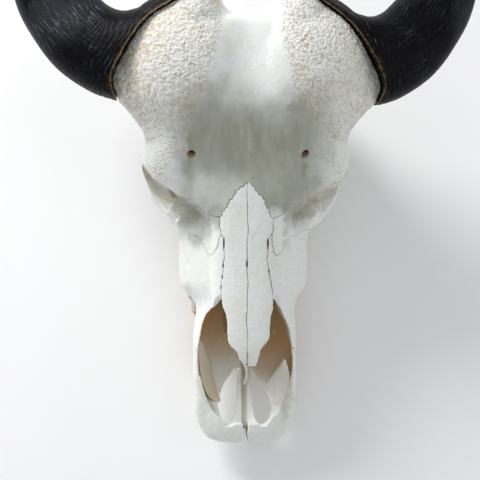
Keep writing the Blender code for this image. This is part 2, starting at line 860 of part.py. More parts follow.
def cheekbone_cutter(name, side):
    """The block that holds the cheekbone: under the lacrimal, out to the suture of the arch."""
    outline = [(60, -66), (160, -66), (160, 46), (92, 46), (84, -4)]
    return prism(name, [(side * x, y) for x, y in outline], -CHEEKBONE_DEPTH, -LACRIMAL_DEPTH - SUTURE_GAP, "Z")


def maxilla_cutter(name, side):
    """All in front of the lacrimal above, and of the end of the tooth row below."""
    outline = [(-330, 60), (-62, 60), (-62, -74), (-26, -82), (-26, -120), (-20, -220), (-330, -220)]
    return prism(name, outline, side * SUTURE_GAP / 2, side * 120, "X")


def frontal_cutter(name, side):
    """The forehead with its horn core: all above the orbit's lower half and the top of the braincase."""
    outline = [
        (-75, 60),
        (-75, -72),
        (-62, -74),
        (-26, -82),
        (-8, -84),
        (10, -76),
        (50, -76),
        (110, -72),
        (140, -60),
        (260, -60),
        (260, 60),
    ]
    return prism(name, outline, side * SUTURE_GAP / 2, side * 200, "X")


def parted(skull, cutter, name):
    """One bone taken out of the skull with a thin gap all round, which leaves the rest in skull."""
    bone = copy_of(skull, name)
    boolean(bone, cutter, "INTERSECT")
    cut(skull, grown(cutter, SUTURE_GAP))
    return keep_largest(bone)


def floor_cutter():
    """All that lies under the floor, in the face frame."""
    side_view = [(-450, floor_z(-450)), (600, floor_z(600)), (600, -600), (-450, -600)]
    return prism("floor", side_view, -400, 400, "X")


def paint(obj, colour, roughness):
    surface = bpy.data.materials.new(obj.name)
    surface.use_nodes = True
    shader = surface.node_tree.nodes["Principled BSDF"]
    shader.inputs["Base Color"].default_value = (*colour, 1)
    shader.inputs["Roughness"].default_value = roughness
    shader.inputs["Metallic"].default_value = 0
    obj.data.materials.clear()
    obj.data.materials.append(surface)
    surface.diffuse_color = (*colour, 1)


BONE = (0.80, 0.77, 0.69)
HORN = (0.018, 0.017, 0.020)
PARTED_BONES = [
    # name without its side, cutter, in the order in which they are taken out
    ("nasal", nasal_cutter),
    ("lacrimal", lacrimal_cutter),
    ("zygomatic", cheekbone_cutter),
    ("premaxilla", premaxilla_cutter),
    ("maxilla", maxilla_cutter),
    ("frontal", frontal_cutter),
]


def stand_on_floor(objects):
    """Tips the skull until its palate is level, and puts the middle of its footprint at the origin."""
    stand = bpy.data.objects.new("skull", None)
    bpy.context.scene.collection.objects.link(stand)
    tip = Matrix.Rotation(PALATE_SLOPE, 4, "X")
    corners = [tip @ vert.co for obj in objects for vert in obj.data.vertices]
    middle = [(min(c[axis] for c in corners) + max(c[axis] for c in corners)) / 2 for axis in (0, 1)]
    floor = (tip @ Vector((0, 0, floor_z(0) * MM))).z
    stand.rotation_euler = (PALATE_SLOPE, 0, 0)
    stand.location = (-middle[0], -middle[1], -floor)
    for obj in objects:
        obj.parent = stand


def main():
    clear_scene()
    forms = face_forms() + vault_forms() + occiput_forms() + cheek_forms()
    skull = merged("cranium", forms, FORM_VOXEL, FORM_SMOOTHING)
    shaped(skull, SURFACE_FEATURES)
    thinned(skull, SKULL_TRIANGLES)
    nodes = [horn_sheath("horn_left", 1, skull), horn_sheath("horn_right", -1, skull)]
    cut(skull, *nose_opening(), nose_cavity(), roof_hollow(), *openings(), *premaxilla_channel())
    cut(skull, sheath_side("seat", 1), sheath_side("seat", -1), floor_cutter())
    for bone, cutter in PARTED_BONES:
        for side, suffix in ((1, "_left"), (-1, "_right")):
            nodes.append(parted(skull, cutter(bone, side), bone + suffix))
    for node in [n for n in nodes if n.name.startswith("maxilla")]:
        side = 1 if node.name.endswith("left") else -1
        for tooth in cheek_teeth(side):
            boolean(node, tooth, "UNION")
            remove(tooth)
        cut(node, floor_cutter())
    nodes.append(skull)
    for node in nodes:
        keep_largest(node)
        horn = node.name.startswith("horn")
        paint(node, HORN if horn else BONE, 0.45 if horn else 0.75)
        node.data.shade_smooth()
        node.data.set_sharp_from_angle(angle=math.radians(40))
    stand_on_floor(nodes)


main()
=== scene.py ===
"""A cape buffalo skull with its horn sheaths, life size, lying face up on its cheek teeth and its nape.

The file is laid out as an add-on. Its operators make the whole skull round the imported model, then the horn
sheaths, then part the skull into its bones, mostly two at a time, and set the stage. Every form is first
laid out in the face frame, in millimetres: +X to the skull's left, which the viewer has on the right, +Y
from the nose to the crest, +Z straight out of the forehead, with the origin where the nasal bones meet the
frontal bones. The finished pieces are then tipped about X onto the floor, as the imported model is.
"""

import math

import bmesh
import bpy
import numpy as np
from bpy.props import FloatProperty, FloatVectorProperty, PointerProperty, StringProperty
from bpy.types import Operator, Panel, PropertyGroup
from mathutils import Matrix, Vector


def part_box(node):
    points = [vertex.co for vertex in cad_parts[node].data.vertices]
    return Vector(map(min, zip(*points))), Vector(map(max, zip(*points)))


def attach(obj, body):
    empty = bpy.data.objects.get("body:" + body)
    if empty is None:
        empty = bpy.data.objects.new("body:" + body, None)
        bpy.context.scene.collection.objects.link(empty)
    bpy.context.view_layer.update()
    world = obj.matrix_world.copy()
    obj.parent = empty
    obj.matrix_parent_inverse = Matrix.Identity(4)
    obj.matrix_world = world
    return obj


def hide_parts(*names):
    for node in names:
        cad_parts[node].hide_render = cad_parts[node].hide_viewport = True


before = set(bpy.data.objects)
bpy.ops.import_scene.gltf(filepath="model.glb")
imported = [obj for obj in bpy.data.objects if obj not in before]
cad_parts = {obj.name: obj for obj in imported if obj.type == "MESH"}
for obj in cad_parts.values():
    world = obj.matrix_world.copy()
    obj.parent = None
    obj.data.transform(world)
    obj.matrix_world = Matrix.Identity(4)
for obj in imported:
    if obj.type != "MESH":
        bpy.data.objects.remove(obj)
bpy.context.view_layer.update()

bl_info = {
    "name": "Cape Buffalo Skull",
    "version": (1, 0, 0),
    "blender": (4, 5, 0),
    "location": "3D View > Sidebar > Skull",
    "description": "Makes a weathered cape buffalo skull with its horn sheaths",
    "category": "Object",
}

MM = 0.001
SIDES = ((1, "_left"), (-1, "_right"))

# Driving dimensions of the skull, in millimetres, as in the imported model
SKULL_LENGTH = 503.0  # from the crest notch to the front of the premaxillae
CREST_Y = 195.0
PREMAXILLA_Y = CREST_Y - SKULL_LENGTH
ROOF_THICKNESS = 5.5  # of the nasal bones
PALATE_SLOPE = math.radians(15.0)  # between the palate and the line of the face
PALATE_FRONT_Z = -76.0  # underside of the premaxillae at their front
TOOTH_HEIGHT = 22.0
TOOTH_ROOT = 9.0
TOOTH_ROW_START = -168.0
TOOTH_ROW_ASIDE = 46.5  # of the first tooth from the midline
TOOTH_ROW_BOW = 14.5  # how far the row swings out in its middle
TOOTH_ROW_BOW_LENGTH = 190.0
NASAL_DEPTH = 35.0
LACRIMAL_DEPTH = 74.0
CHEEKBONE_DEPTH = 126.0
SHEATH_LIP = 5.5  # how far the horn sheath stands out from the bone at its rim
LEFT_HORN_SPREAD = 4.0
RIGHT_HORN_SPREAD = 1.5
LEFT_HORN_DROP = 4.5
FOREHEAD_RISE = 26.0  # of the lobes and the horns above the line of the nasal bones
EYE = np.array((-133.0, -66.7, 1896.0))  # the viewer, in the face frame

# The grids that the forms are joined on, in millimetres
COARSE = 1.0
FORM_VOXEL = 1.6 * COARSE
SKIN_VOXEL = 1.3 * COARSE
SHEATH_VOXEL = 1.5 * COARSE
FORM_SPREAD = 7 * 3.2**2  # how far the forms run into each other, in square millimetres
MOST_TRIANGLES = 190000
SKIN_TRIANGLES = 14000
SKIN_SMOOTHING = 3
SHEATH_SMOOTHING = 4
BONE_SHARP = 48  # degrees between faces past which an edge of bone or horn stays sharp
TOOTH_SHARP = 40
CORE_INSET = 3.5  # how deep the horn core lies under the line of the bare bone
CORE_PLAY = 0.4  # between the core and the sheath
CORE_MARGIN = 2  # how far the core reaches in past the drawn rim
SHEATH_MARGIN = 10  # how far the skin of the sheath is taken past the drawn rim, to be cut back to it
RIM_WANDER, RIM_SEED = 0.6, 101  # of the edge of the sheath, in millimetres
SEAT_WANDER, SEAT_SEED = 0.7, 111  # of the edge of the bare bone under it
TOP = 120  # levels above and below all that a sheath takes part in, in the face frame
BOTTOM = -220
HORN_RADIUS = 40.0  # of the cylinder on which the grain of the horn is laid out


def palate_z(y):
    """Level of the bony palate in the face frame at y."""
    return PALATE_FRONT_Z - (y - PREMAXILLA_Y) * math.tan(PALATE_SLOPE)


def floor_z(y):
    """Level of the floor under the skull in the face frame at y."""
    return palate_z(y) - TOOTH_HEIGHT / math.cos(PALATE_SLOPE)


def face_to_floor():
    """The turn and the shift that lay the face frame on the floor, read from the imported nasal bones."""
    tip = Matrix.Rotation(PALATE_SLOPE, 4, "X")
    left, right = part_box("nasal_left"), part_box("nasal_right")
    middle_x = (left[0][0] + right[1][0]) / 2
    back_y = left[1][1] - NASAL_DEPTH * math.sin(PALATE_SLOPE) * MM
    floor = (tip @ Vector((0, 0, floor_z(0) * MM))).z
    return Matrix.Translation((middle_x, back_y, -floor)) @ tip


TO_FLOOR = face_to_floor()


# Mesh tools
def new_object(name, mesh_data):
    """An object with the mesh, in the scene."""
    obj = bpy.data.objects.new(name, mesh_data)
    bpy.context.scene.collection.objects.link(obj)
    return obj


def object_from_bmesh(name, bm):
    """An object with what the bmesh holds, which is then freed."""
    mesh_data = bpy.data.meshes.new(name)
    bm.to_mesh(mesh_data)
    bm.free()
    return new_object(name, mesh_data)


def remove(*objects):
    """Deletes the objects and the meshes that nothing else uses."""
    for obj in objects:
        mesh_data = obj.data
        bpy.data.objects.remove(obj)
        if mesh_data.users == 0:
            bpy.data.meshes.remove(mesh_data)


def copy_of(obj, name):
    """A copy with a mesh of its own."""
    twin = obj.copy()
    twin.data = obj.data.copy()
    twin.name = name
    bpy.context.scene.collection.objects.link(twin)
    return twin


def mirrored(obj, name):
    """A copy of the object on the other side of the midline, with its faces still pointing out."""
    twin = copy_of(obj, name)
    twin.data.transform(Matrix.Scale(-1, 4, (1, 0, 0)))
    twin.data.flip_normals()
    return twin


def both_sides(make, *arguments, **named):
    """The form that make gives, and its mirror image."""
    first = make(*arguments, **named)
    return [first, mirrored(first, first.name + "_mirror")]


def apply_modifiers(obj):
    """Makes the object's evaluated mesh its own plain mesh."""
    graph = bpy.context.evaluated_depsgraph_get()
    old = obj.data
    obj.data = bpy.data.meshes.new_from_object(obj.evaluated_get(graph))
    obj.modifiers.clear()
    if old.users == 0:
        bpy.data.meshes.remove(old)
    return obj


def read(obj, attribute="position"):
    """A point attribute of the object as an array, with positions in millimetres."""
    layer = obj.data.attributes[attribute]
    size = 3 if layer.data_type == "FLOAT_VECTOR" else 1
    values = np.empty(len(layer.data) * size, np.float32)
    layer.data.foreach_get("vector" if size == 3 else "value", values)
    if attribute == "position":
        values /= MM
    return values.reshape(-1, 3) if size == 3 else values


def write(obj, attribute, values, domain="POINT"):
    """Sets an attribute, with positions in millimetres."""
    values = np.asarray(values, np.float32)
    if attribute == "position":
        obj.data.attributes["position"].data.foreach_set("vector", (values * MM).ravel())
        obj.data.update()
        return
    kind = "FLOAT_VECTOR" if values.ndim == 2 else "FLOAT"
    layer = obj.data.attributes.get(attribute) or obj.data.attributes.new(attribute, kind, domain)
    layer.data.foreach_set("vector" if values.ndim == 2 else "value", values.ravel())


def normals(obj):
    """The normal of each point."""
    values = np.empty(len(obj.data.vertices) * 3, np.float32)
    obj.data.vertex_normals.foreach_get("vector", values)
    return values.reshape(-1, 3)


def mark_faces(obj, value):
    """Marks every face as outer bone, 0, or as the wall of a cut, 1."""
    write(obj, "cut", np.full(len(obj.data.polygons), float(value)), "FACE")
    return obj


def boolean(obj, other, operation):
    """Joins, cuts or crosses the object with another closed one."""
    modifier = obj.modifiers.new(operation.lower(), "BOOLEAN")
    modifier.operation = operation
    modifier.solver = "MANIFOLD"
    modifier.object = other
    return apply_modifiers(obj)


def cut(obj, *cutters):
    """Takes the cutters away from the object, and deletes them."""
    for cutter in cutters:
        boolean(obj, cutter, "DIFFERENCE")
        remove(cutter)
    return obj


def grown(obj, by):
    """The object with each face moved out by a distance in millimetres."""
    bm = bmesh.new()
    bm.from_mesh(obj.data)
    bm.normal_update()
    moves = [vert.normal * vert.calc_shell_factor() * by * MM for vert in bm.verts]
    for vert, move in zip(bm.verts, moves):
        vert.co += move
    bm.to_mesh(obj.data)
    bm.free()
    return obj


def keep_largest(obj):
    """Drops every surface of the object but the one with the most points."""
    edges = np.empty(len(obj.data.edges) * 2, np.int32)
    obj.data.edges.foreach_get("vertices", edges)
    start, end = edges.reshape(-1, 2).T
    label = np.arange(len(obj.data.vertices))
    while True:
        lower = np.minimum(label[start], label[end])
        before = label.copy()
        np.minimum.at(label, start, lower)
        np.minimum.at(label, end, lower)
        label = label[label]
        if (label == before).all():
            break
    sizes = np.bincount(label)
    scraps = np.flatnonzero(label != sizes.argmax())
    if len(scraps):
        bm = bmesh.new()
        bm.from_mesh(obj.data)
        bm.verts.ensure_lookup_table()
        bmesh.ops.delete(bm, geom=[bm.verts[i] for i in scraps], context="VERTS")
        bm.to_mesh(obj.data)
        bm.free()
    return obj


def merged(name, forms, voxel, smoothing):
    """The forms joined into one skin on a voxel grid, and smoothed so that they run into each other."""
    bm = bmesh.new()
    for form in forms:
        bm.from_mesh(form.data)
    remove(*forms)
    obj = object_from_bmesh(name, bm)
    remesh = obj.modifiers.new("skin", "REMESH")
    remesh.mode = "VOXEL"
    remesh.voxel_size = voxel * MM
    smooth = obj.modifiers.new("smooth", "SMOOTH")
    smooth.factor = 0.5
    smooth.iterations = smoothing
    return apply_modifiers(obj)


def thinned(obj, triangles):
    """Fewer faces, most of them where the surface bends."""
    obj.data.calc_loop_triangles()
    if len(obj.data.loop_triangles) > triangles:
        modifier = obj.modifiers.new("thin", "DECIMATE")
        modifier.ratio = triangles / len(obj.data.loop_triangles)
        apply_modifiers(obj)
    return obj


# Shapes in the face frame
def smooth_rows(rows, steps):
    """A smooth curve through the rows, each a tuple of numbers, with the given steps between rows."""
    rows = np.array(rows, float)
    padded = np.vstack([2 * rows[0] - rows[1], rows, 2 * rows[-1] - rows[-2]])
    out = []
    for i in range(1, len(padded) - 2):
        before, start, end, after = padded[i - 1 : i + 3]
        for step in range(steps):
            t = step / steps
            square = 2 * before - 5 * start + 4 * end - after
            cube = 3 * start - before - 3 * end + after
            out.append(0.5 * (2 * start + (end - before) * t + square * t**2 + cube * t**3))
    out.append(padded[-2])
    return np.array(out)


def object_from_rings(name, rings, flat=False):
    """A closed body through rings of points in millimetres, all of one count, with fans or flat caps."""
    bm = bmesh.new()
    count = len(rings[0])
    layers = [[bm.verts.new(Vector(p) * MM) for p in ring] for ring in rings]
    for lower, upper in zip(layers, layers[1:]):
        for i in range(count):
            j = (i + 1) % count
            bm.faces.new((lower[i], lower[j], upper[j], upper[i]))
    for layer, ring in ((layers[0], rings[0]), (layers[-1], rings[-1])):
        if flat:
            bm.faces.new(layer)
            continue
        centre = bm.verts.new(Vector(np.mean(ring, axis=0)) * MM)
        for i in range(count):
            bm.faces.new((layer[i], layer[(i + 1) % count], centre))
    bmesh.ops.recalc_face_normals(bm, faces=bm.faces)
    return object_from_bmesh(name, bm)


def oval(square, count):
    """Points round an oval of unit half sizes, which nears a rectangle as square rises above 2."""
    angle = np.arange(count) * 2 * np.pi / count
    across = np.sign(np.cos(angle)) * np.abs(np.cos(angle)) ** (2 / square)
    up = np.sign(np.sin(angle)) * np.abs(np.sin(angle)) ** (2 / square)
    return across, up


def section(top_half, middle_half, base_half, top_z, middle_z, base_z, square, count):
    """A rounded outline in X and Z, which may be narrower at its top and base than in its middle."""
    across, up = oval(square, count)
    above, below = np.maximum(up, 0), np.maximum(-up, 0)
    half = middle_half + (top_half - middle_half) * above**1.5 + (base_half - middle_half) * below**1.5
    z = middle_z + (top_z - middle_z) * above - (middle_z - base_z) * below
    return across * half, z


def lofted(name, stations, square=2.6, steps=6, count=64):
    """A body along Y. A station is y, then the half widths and levels that section takes."""
    rings = []
    for y, *sizes in smooth_rows(stations, steps):
        x, z = section(*sizes, square, count)
        rings.append(np.column_stack([x, np.full(count, y), z]))
    return object_from_rings(name, rings)


def swept(name, stations, across, steps=6, count=24, square=2.0):
    """A body along a path. A station is x, y, z, then the half sizes along across and square to it."""
    path = smooth_rows(stations, steps)
    wide, high = oval(square, count)
    rings = []
    for i, (x, y, z, half_across, half_other) in enumerate(path):
        before, after = path[max(i - 1, 0)], path[min(i + 1, len(path) - 1)]
        along = Vector(after[:3] - before[:3]).normalized()
        other = along.cross(Vector(across)).normalized()
        side = other.cross(along).normalized()
        middle = np.array([x, y, z])
        rings.append(middle + np.outer(wide * half_across, side) + np.outer(high * half_other, other))
    return object_from_rings(name, rings)


def ball(name, centre, radii, turn=(0, 0, 0)):
    """An ellipsoid, turned by degrees about X, Y and Z."""
    bm = bmesh.new()
    bmesh.ops.create_uvsphere(bm, u_segments=48, v_segments=28, radius=1.0)
    about_x, about_y, about_z = [Matrix.Rotation(math.radians(t), 3, axis) for t, axis in zip(turn, "XYZ")]
    place = Matrix.LocRotScale(Vector(centre) * MM, about_z @ about_y @ about_x, Vector(radii) * MM)
    bmesh.ops.transform(bm, matrix=place, verts=bm.verts)
    bmesh.ops.recalc_face_normals(bm, faces=bm.faces)
    return object_from_bmesh(name, bm)


def prism(name, outline, low, high, axis):
    """A closed outline drawn out along axis. It is in X and Y for axis Z, and in Y and Z for axis X."""
    rings = [[(a, b, level) if axis == "Z" else (level, a, b) for a, b in outline] for level in (low, high)]
    return mark_faces(object_from_rings(name, rings, flat=True), 1)


def block(name, low, high):
    """A box between two corners."""
    outline = ((low[0], low[1]), (high[0], low[1]), (high[0], high[1]), (low[0], high[1]))
    return prism(name, outline, low[2], high[2], "Z")


def smooth_step(values, low, high):
    """Rises softly from 0 at low to 1 at high."""
    t = np.clip((values - low) / (high - low), 0, 1)
    return t * t * (3 - 2 * t)


def nearest_on(points, line):
    """Distance of each point from a line of points, and how far along the line its nearest place is."""
    line = np.asarray(line, np.float32)
    best = np.full(len(points), np.inf, np.float32)
    place = np.zeros(len(points), np.float32)
    travelled = 0.0
    for start, end in zip(line, line[1:]):
        way = end - start
        length = float(np.linalg.norm(way))
        t = np.clip((points - start) @ way / length**2, 0, 1)
        gap = np.linalg.norm(points - start - t[:, None] * way, axis=1)
        nearer = gap < best
        best[nearer] = gap[nearer]
        place[nearer] = travelled + t[nearer] * length
        travelled += length
    return best, place


MEANDER_WAVES = ((1.0, 0.5), (0.45, 0.32), (2.6, 0.4))  # length as a part of the pitch, and share


def meander(line, reach, pitch, seed):
    """The line with the wander of a suture: points about 1 mm apart, moved sideways by about reach."""
    line = np.array(line, float)
    steps = np.linalg.norm(np.diff(line, axis=0), axis=1)
    where = np.concatenate([[0], np.cumsum(steps)])
    count = max(4, int(where[-1]))
    s = np.linspace(0, where[-1], count)
    path = np.column_stack([np.interp(s, where, line[:, axis]) for axis in (0, 1)])
    along = np.gradient(path, axis=0)
    along /= np.linalg.norm(along, axis=1)[:, None]
    draw = np.random.default_rng(seed)
    wave = np.zeros(count)
    for part, share in MEANDER_WAVES:
        turn = 2 * np.pi * s / (pitch * part) + draw.uniform(0, 6.28)
        wave += share * np.sin(turn + 0.8 * np.sin(s / pitch))
    wave *= smooth_step(s, 0, pitch) * smooth_step(where[-1] - s, 0, pitch)
    path += np.column_stack([along[:, 1], -along[:, 0]]) * (wave * reach)[:, None]
    return [tuple(p) for p in path]


def rise_at(points):
    """How far the skull rises above the line of the nose, from the nasal root to the lobes and the horns."""
    x, y, z = points.T
    share = np.maximum(smooth_step(np.abs(x), 105, 150), smooth_step(z, -115, -45))
    return FOREHEAD_RISE * smooth_step(y, 0, 95) * share


PLAN_LEVEL = -20.0  # of outlines that are given in plan


def dropped(points):
    """Points in millimetres as the skull carries them: the root of the left horn lies nearer to the nose, and
    all behind the nasal root rises along the line to the eye, which keeps its outline from the front."""
    out = np.array(points, float)
    flat = out.shape[1] == 2
    if flat:
        out = np.column_stack([out, np.full(len(out), PLAN_LEVEL)])
    out[:, 1] -= LEFT_HORN_DROP * smooth_step(out[:, 0], 70, 140) * smooth_step(out[:, 1], 60, 110)
    out += (EYE - out) * (rise_at(out) / EYE[2])[:, None]
    return out[:, :2] if flat else out


def shaped(obj, features):
    """Moves the object as dropped does, then its soft places. A feature is centre, radii and push."""
    points = read(obj)
    moved = dropped(points)
    for centre, radii, push in features:
        distance = (((points - np.array(centre)) / np.array(radii)) ** 2).sum(axis=1)
        moved += np.exp(-distance)[:, None] * np.array(push)
    write(obj, "position", moved)
    return obj


def ridged(obj, ridges):
    """Raises ridges or sinks grooves along lines, each with a radius and a height, on both sides."""
    points, out = read(obj), normals(obj)
    height = np.zeros(len(points), np.float32)
    for line, radius, rise in ridges:
        for side in (1, -1):
            path = smooth_rows([(side * x, y, z) for x, y, z in line], 3)
            low, high = path.min(axis=0) - 3 * radius, path.max(axis=0) + 3 * radius
            near = ((points > low) & (points < high)).all(axis=1)
            gap, _ = nearest_on(points[near], path)
            height[near] += rise * np.exp(-((gap / radius) ** 2)) * (0.5 if abs(line[0][0]) < 1 else 1)
    write(obj, "position", points + out * height[:, None])
    return obj


ROOF = [
    # y, half width, height of the ridge: the arched roof that the two nasal bones make
    (-224, 30, -23),
    (-212, 38, -16),
    (-195, 39, -11),
    (-165, 40, -8.5),
    (-130, 42, -7),
    (-90, 42, -6),
    (-50, 44, -3),
    (-15, 50, -1.5),
    (12, 52, -2),
]


def roof(name, inset):
    """The nasal roof, or with an inset the hollow that lies under it."""
    return lofted(name, [(y, *[half - inset] * 3, ridge - inset, -32, -40) for y, half, ridge in ROOF])


def face_forms():
    """The snout from the premaxillae to the orbits: its outer shape, with the nasal roof still closed."""
    stations = [
        (PREMAXILLA_Y, 20, 28, 24, -62, -67, -73),
        (-303, 34, 43, 37, -57, -66, -78),
        (-292, 44, 53, 46, -53, -68, -82),
        (-275, 50, 59.5, 50, -50, -70, -85),
        (-250, 50, 61.5, 50, -44, -74, palate_z(-250)),
        (-225, 50, 62, 48, -38, -76, palate_z(-225)),
        (-205, 48, 62, 47, -30, -78, palate_z(-205)),
        (-180, 42, 62, 48, -20, -80, palate_z(-180)),
        (-150, 34, 61.5, 58, -11, -86, palate_z(-150) - 3),
        (-138, 33, 64, 65, -9.5, -92, palate_z(-138) - 4),
        (-127, 33, 71, 70, -8.5, -96, palate_z(-127) - 4),
        (-118, 33, 75.5, 71, -7.5, -99, palate_z(-118) - 5),
        (-85, 34, 77, 72, -5, -102, palate_z(-85) - 5),
        (-55, 38, 79, 71, -3, -102, palate_z(-55) - 5),
        (-30, 48, 76, 69, -2, -102, palate_z(-30) - 4),
        (-8, 60, 66, 58, -2, -92, palate_z(-8) + 6),
        (15, 60, 60, 40, -2, -80, -128),
    ]
    return [lofted("snout", stations, square=2.5), roof("roof", 0)]


def vault_forms():
    """The frontal shelf, the braincase under it and the two swollen lobes that carry the horns."""
    shelf = [
        (-48, 20, 42, 30, -3, -28, -60),
        (-30, 40, 62, 50, -2, -30, -62),
        (-12, 58, 82, 62, -2, -30, -60),
        (2, 76, 104, 76, -2, -32, -60),
        (14, 88, 119, 84, -2, -36, -62),
        (27, 90, 123, 86, -1, -38, -64),
        (46, 90, 119, 84, 0, -38, -66),
        (62, 94, 123, 86, 1, -38, -70),
        (84, 104, 140, 98, 2, -40, -76),
        (94, 112, 149, 102, 2.5, -40, -78),
        (106, 120, 163, 108, 3, -40, -80),
        (140, 118, 162, 106, 3, -40, -82),
        (170, 96, 134, 92, 1, -40, -82),
        (188, 70, 96, 76, -3, -40, -78),
        (196, 30, 50, 40, -12, -42, -70),
    ]
    braincase = [
        (-25, 40, 52, 42, -40, -90, -132),
        (10, 50, 52, 34, -36, -90, -134),
        (45, 60, 58, 32, -34, -90, -143),
        (80, 72, 66, 34, -34, -92, -156),
        (110, 84, 76, 40, -36, -100, -168),
        (135, 84, 80, 44, -40, -104, -176),
        (150, 70, 64, 40, -46, -104, -172),
    ]
    forms = [lofted("shelf", shelf, square=2.7), lofted("braincase", braincase, square=2.4)]
    forms += both_sides(ball, "lobe", (73, 142, -36), (78, 80, 49), turn=(0, 6, 32))
    forms += both_sides(ball, "lobe_top", (62, 190, -38), (39, 44, 42))
    return forms


def occiput_forms():
    """The nape: its broad plate, the condyles, the processes beside them and the ear capsules."""
    forms = [ball("nape", (0, 132, -104), (100, 27, 66))]
    forms += both_sides(ball, "mastoid", (82, 120, -128), (20, 24, 36), turn=(0, 12, 0))
    forms += both_sides(ball, "nape_base", (44, 138, -152), (34, 18, 34))
    forms += both_sides(ball, "condyle", (27, 154, -170), (21, 19, 28), turn=(0, -22, 0))
    foot = floor_z(132)
    process = [
        (66, 118, -140, 13, 22),
        (67, 124, -166, 11, 19),
        (65, 130, -190, 8.5, 15),
        (62, 133, foot - 1, 7.5, 11),
        (61, 134, foot - 7, 6, 9),
    ]
    forms += both_sides(swept, "paracondylar", process, across=(1, 0, 0))
    forms += both_sides(ball, "ear_capsule", (43, 92, -170), (14, 21, 17))
    base = [
        (0, 20, -132, 15, 12),
        (0, 60, -146, 17, 12),
        (0, 100, -166, 21, 12),
        (0, 140, -180, 22, 12),
    ]
    forms.append(swept("skull_base", base, across=(1, 0, 0)))
    wing = [
        (26, -14, -140, 5, 20),
        (24, 8, -142, 4, 18),
        (20, 32, -142, 4, 14),
        (17, 54, -146, 4, 9),
    ]
    forms += both_sides(swept, "pterygoid", wing, across=(1, 0, 0))
    return forms


ORBIT_CENTRE = Vector((107, -6, -66))
ORBIT_AXIS = Vector((0.90, -0.41, 0.15)).normalized()


def along_orbit(side, stations):
    """Stations on the axis of the orbit: each is a distance out from the plane of its rim, then a radius."""
    path = []
    for out, radius in stations:
        spot = ORBIT_CENTRE + ORBIT_AXIS * out
        path.append((side * spot.x, spot.y, spot.z, radius, radius))
    return path


def cheek_forms():
    """The cup of the orbit, the cheekbone, the bar behind the orbit and the arch back to the jaw joint."""
    cup = [(-58, 26), (-40, 34), (-20, 38), (-6, 38.5), (-1, 37.5), (1.5, 35.5)]
    forms = both_sides(swept, "orbit_cup", along_orbit(1, cup), across=(0, 0, 1), count=56)
    cheek = [
        (58, -84, -98, 8, 17),
        (66, -66, -98, 9, 22),
        (80, -46, -97, 10, 22),
        (95, -28, -100, 9.5, 18),
        (107, -8, -104, 9, 15),
        (110, 20, -108, 7, 12),
        (108, 50, -113, 6, 11),
        (100, 80, -118, 6, 11),
        (86, 102, -122, 8, 11),
        (68, 116, -122, 12, 13),
    ]
    forms += both_sides(swept, "cheek", cheek, across=(0.9, -0.4, 0), square=1.5)
    forms += both_sides(ball, "lacrimal_swelling", (70, -36, -60), (19, 22, 24))
    forms += both_sides(ball, "jaw_joint", (72, 92, -136), (27, 15, 10))
    return forms


SURFACE_FEATURES = [
    # centre, radii, push: the valley between the lobes, and the step below them
    ((0, 165, 0), (24, 90, 60), (0, 0, -7)),
    ((66, 66, -4), (44, 24, 40), (0, 0, -7)),
    ((-66, 66, -4), (44, 24, 40), (0, 0, -7)),
    # the sunken forehead below the lobes, which lies in their shade
    ((0, 34, -4), (66, 38, 40), (0, 0, -7)),
    # the groove that runs down from the supraorbital hole
    ((66, 4, -4), (9, 34, 40), (0, 0, -5)),
    ((-66, 4, -4), (9, 34, 40), (0, 0, -5)),
    # the swollen roof of the orbit
    ((96, 26, -20), (22, 30, 30), (2, 0, 5)),
    ((-96, 26, -20), (22, 30, 30), (-2, 0, 5)),
    # the sunken place in front of the orbit, and the face tuber above the teeth
    ((62, -58, -50), (20, 26, 40), (-5, 0, -5)),
    ((-62, -58, -50), (20, 26, 40), (5, 0, -5)),
    ((78, -120, -104), (20, 14, 22), (1.5, 0, 0)),
    ((-78, -120, -104), (20, 14, 22), (-1.5, 0, 0)),
    # the right cheek and the right of the snout, a little flatter than the left
    ((-108, -36, -96), (20, 26, 34), (6, 0, 0)),
    ((-62, -150, -84), (16, 18, 40), (4, 0, 0)),
    # the vault of the palate between the tooth rows
    ((0, -90, palate_z(-90)), (34, 90, 30), (0, 0, 9)),
]


def nose_cavity():
    """The hollow of the nose, from the front of its opening back under the nasal bones."""
    stations = [
        (-284, 14, 18, 10, -22, -62, -77),
        (-272, 40, 36, 22, -22, -64, -79),
        (-250, 53, 47, 30, -22, -68, palate_z(-250) + 8),
        (-225, 55, 54, 36, -22, -72, palate_z(-225) + 8),
        (-205, 56, 55, 40, -22, -74, palate_z(-205) + 9),
        (-180, 50, 55, 40, -21, -76, palate_z(-180) + 10),
        (-150, 34, 54, 38, -20, -78, palate_z(-150) + 12),
        (-125, 28, 50, 34, -20, -80, palate_z(-125) + 14),
        (-85, 26, 48, 32, -20, -80, palate_z(-85) + 16),
        (-50, 24, 36, 28, -22, -76, palate_z(-50) + 20),
        (-28, 18, 24, 20, -24, -70, -118),
    ]
    return lofted("nose_cavity", stations, square=2.8)


def roof_hollow():
    """The space right under the nasal bones, which ends in front of the forehead."""
    hollow = roof("roof_hollow", ROOF_THICKNESS)
    behind = block("behind", (-80, -24, -60), (80, 40, 20))
    boolean(hollow, behind, "DIFFERENCE")
    remove(behind)
    ahead = ball("ahead", (0, -216, -30), (34, 14, 9.5))
    boolean(hollow, ahead, "UNION")
    remove(ahead)
    return hollow


NOSE_MARGIN = {
    # the rim of the nose as the viewer sees it, from the nasal bone down to the snout
    1: [
        (31.1, -138), (36, -144.5), (41.1, -153), (46.1, -162.4), (50, -172), (52.1, -184),
        (53.9, -196), (55.4, -208), (55, -222),
    ],
    -1: [
        (31.5, -137), (39.4, -145.7), (46.2, -154), (50.1, -163.6), (52.3, -174.3), (54.5, -187.4),
        (56.2, -200.4), (56.7, -213.6), (55.5, -228),
    ],
}


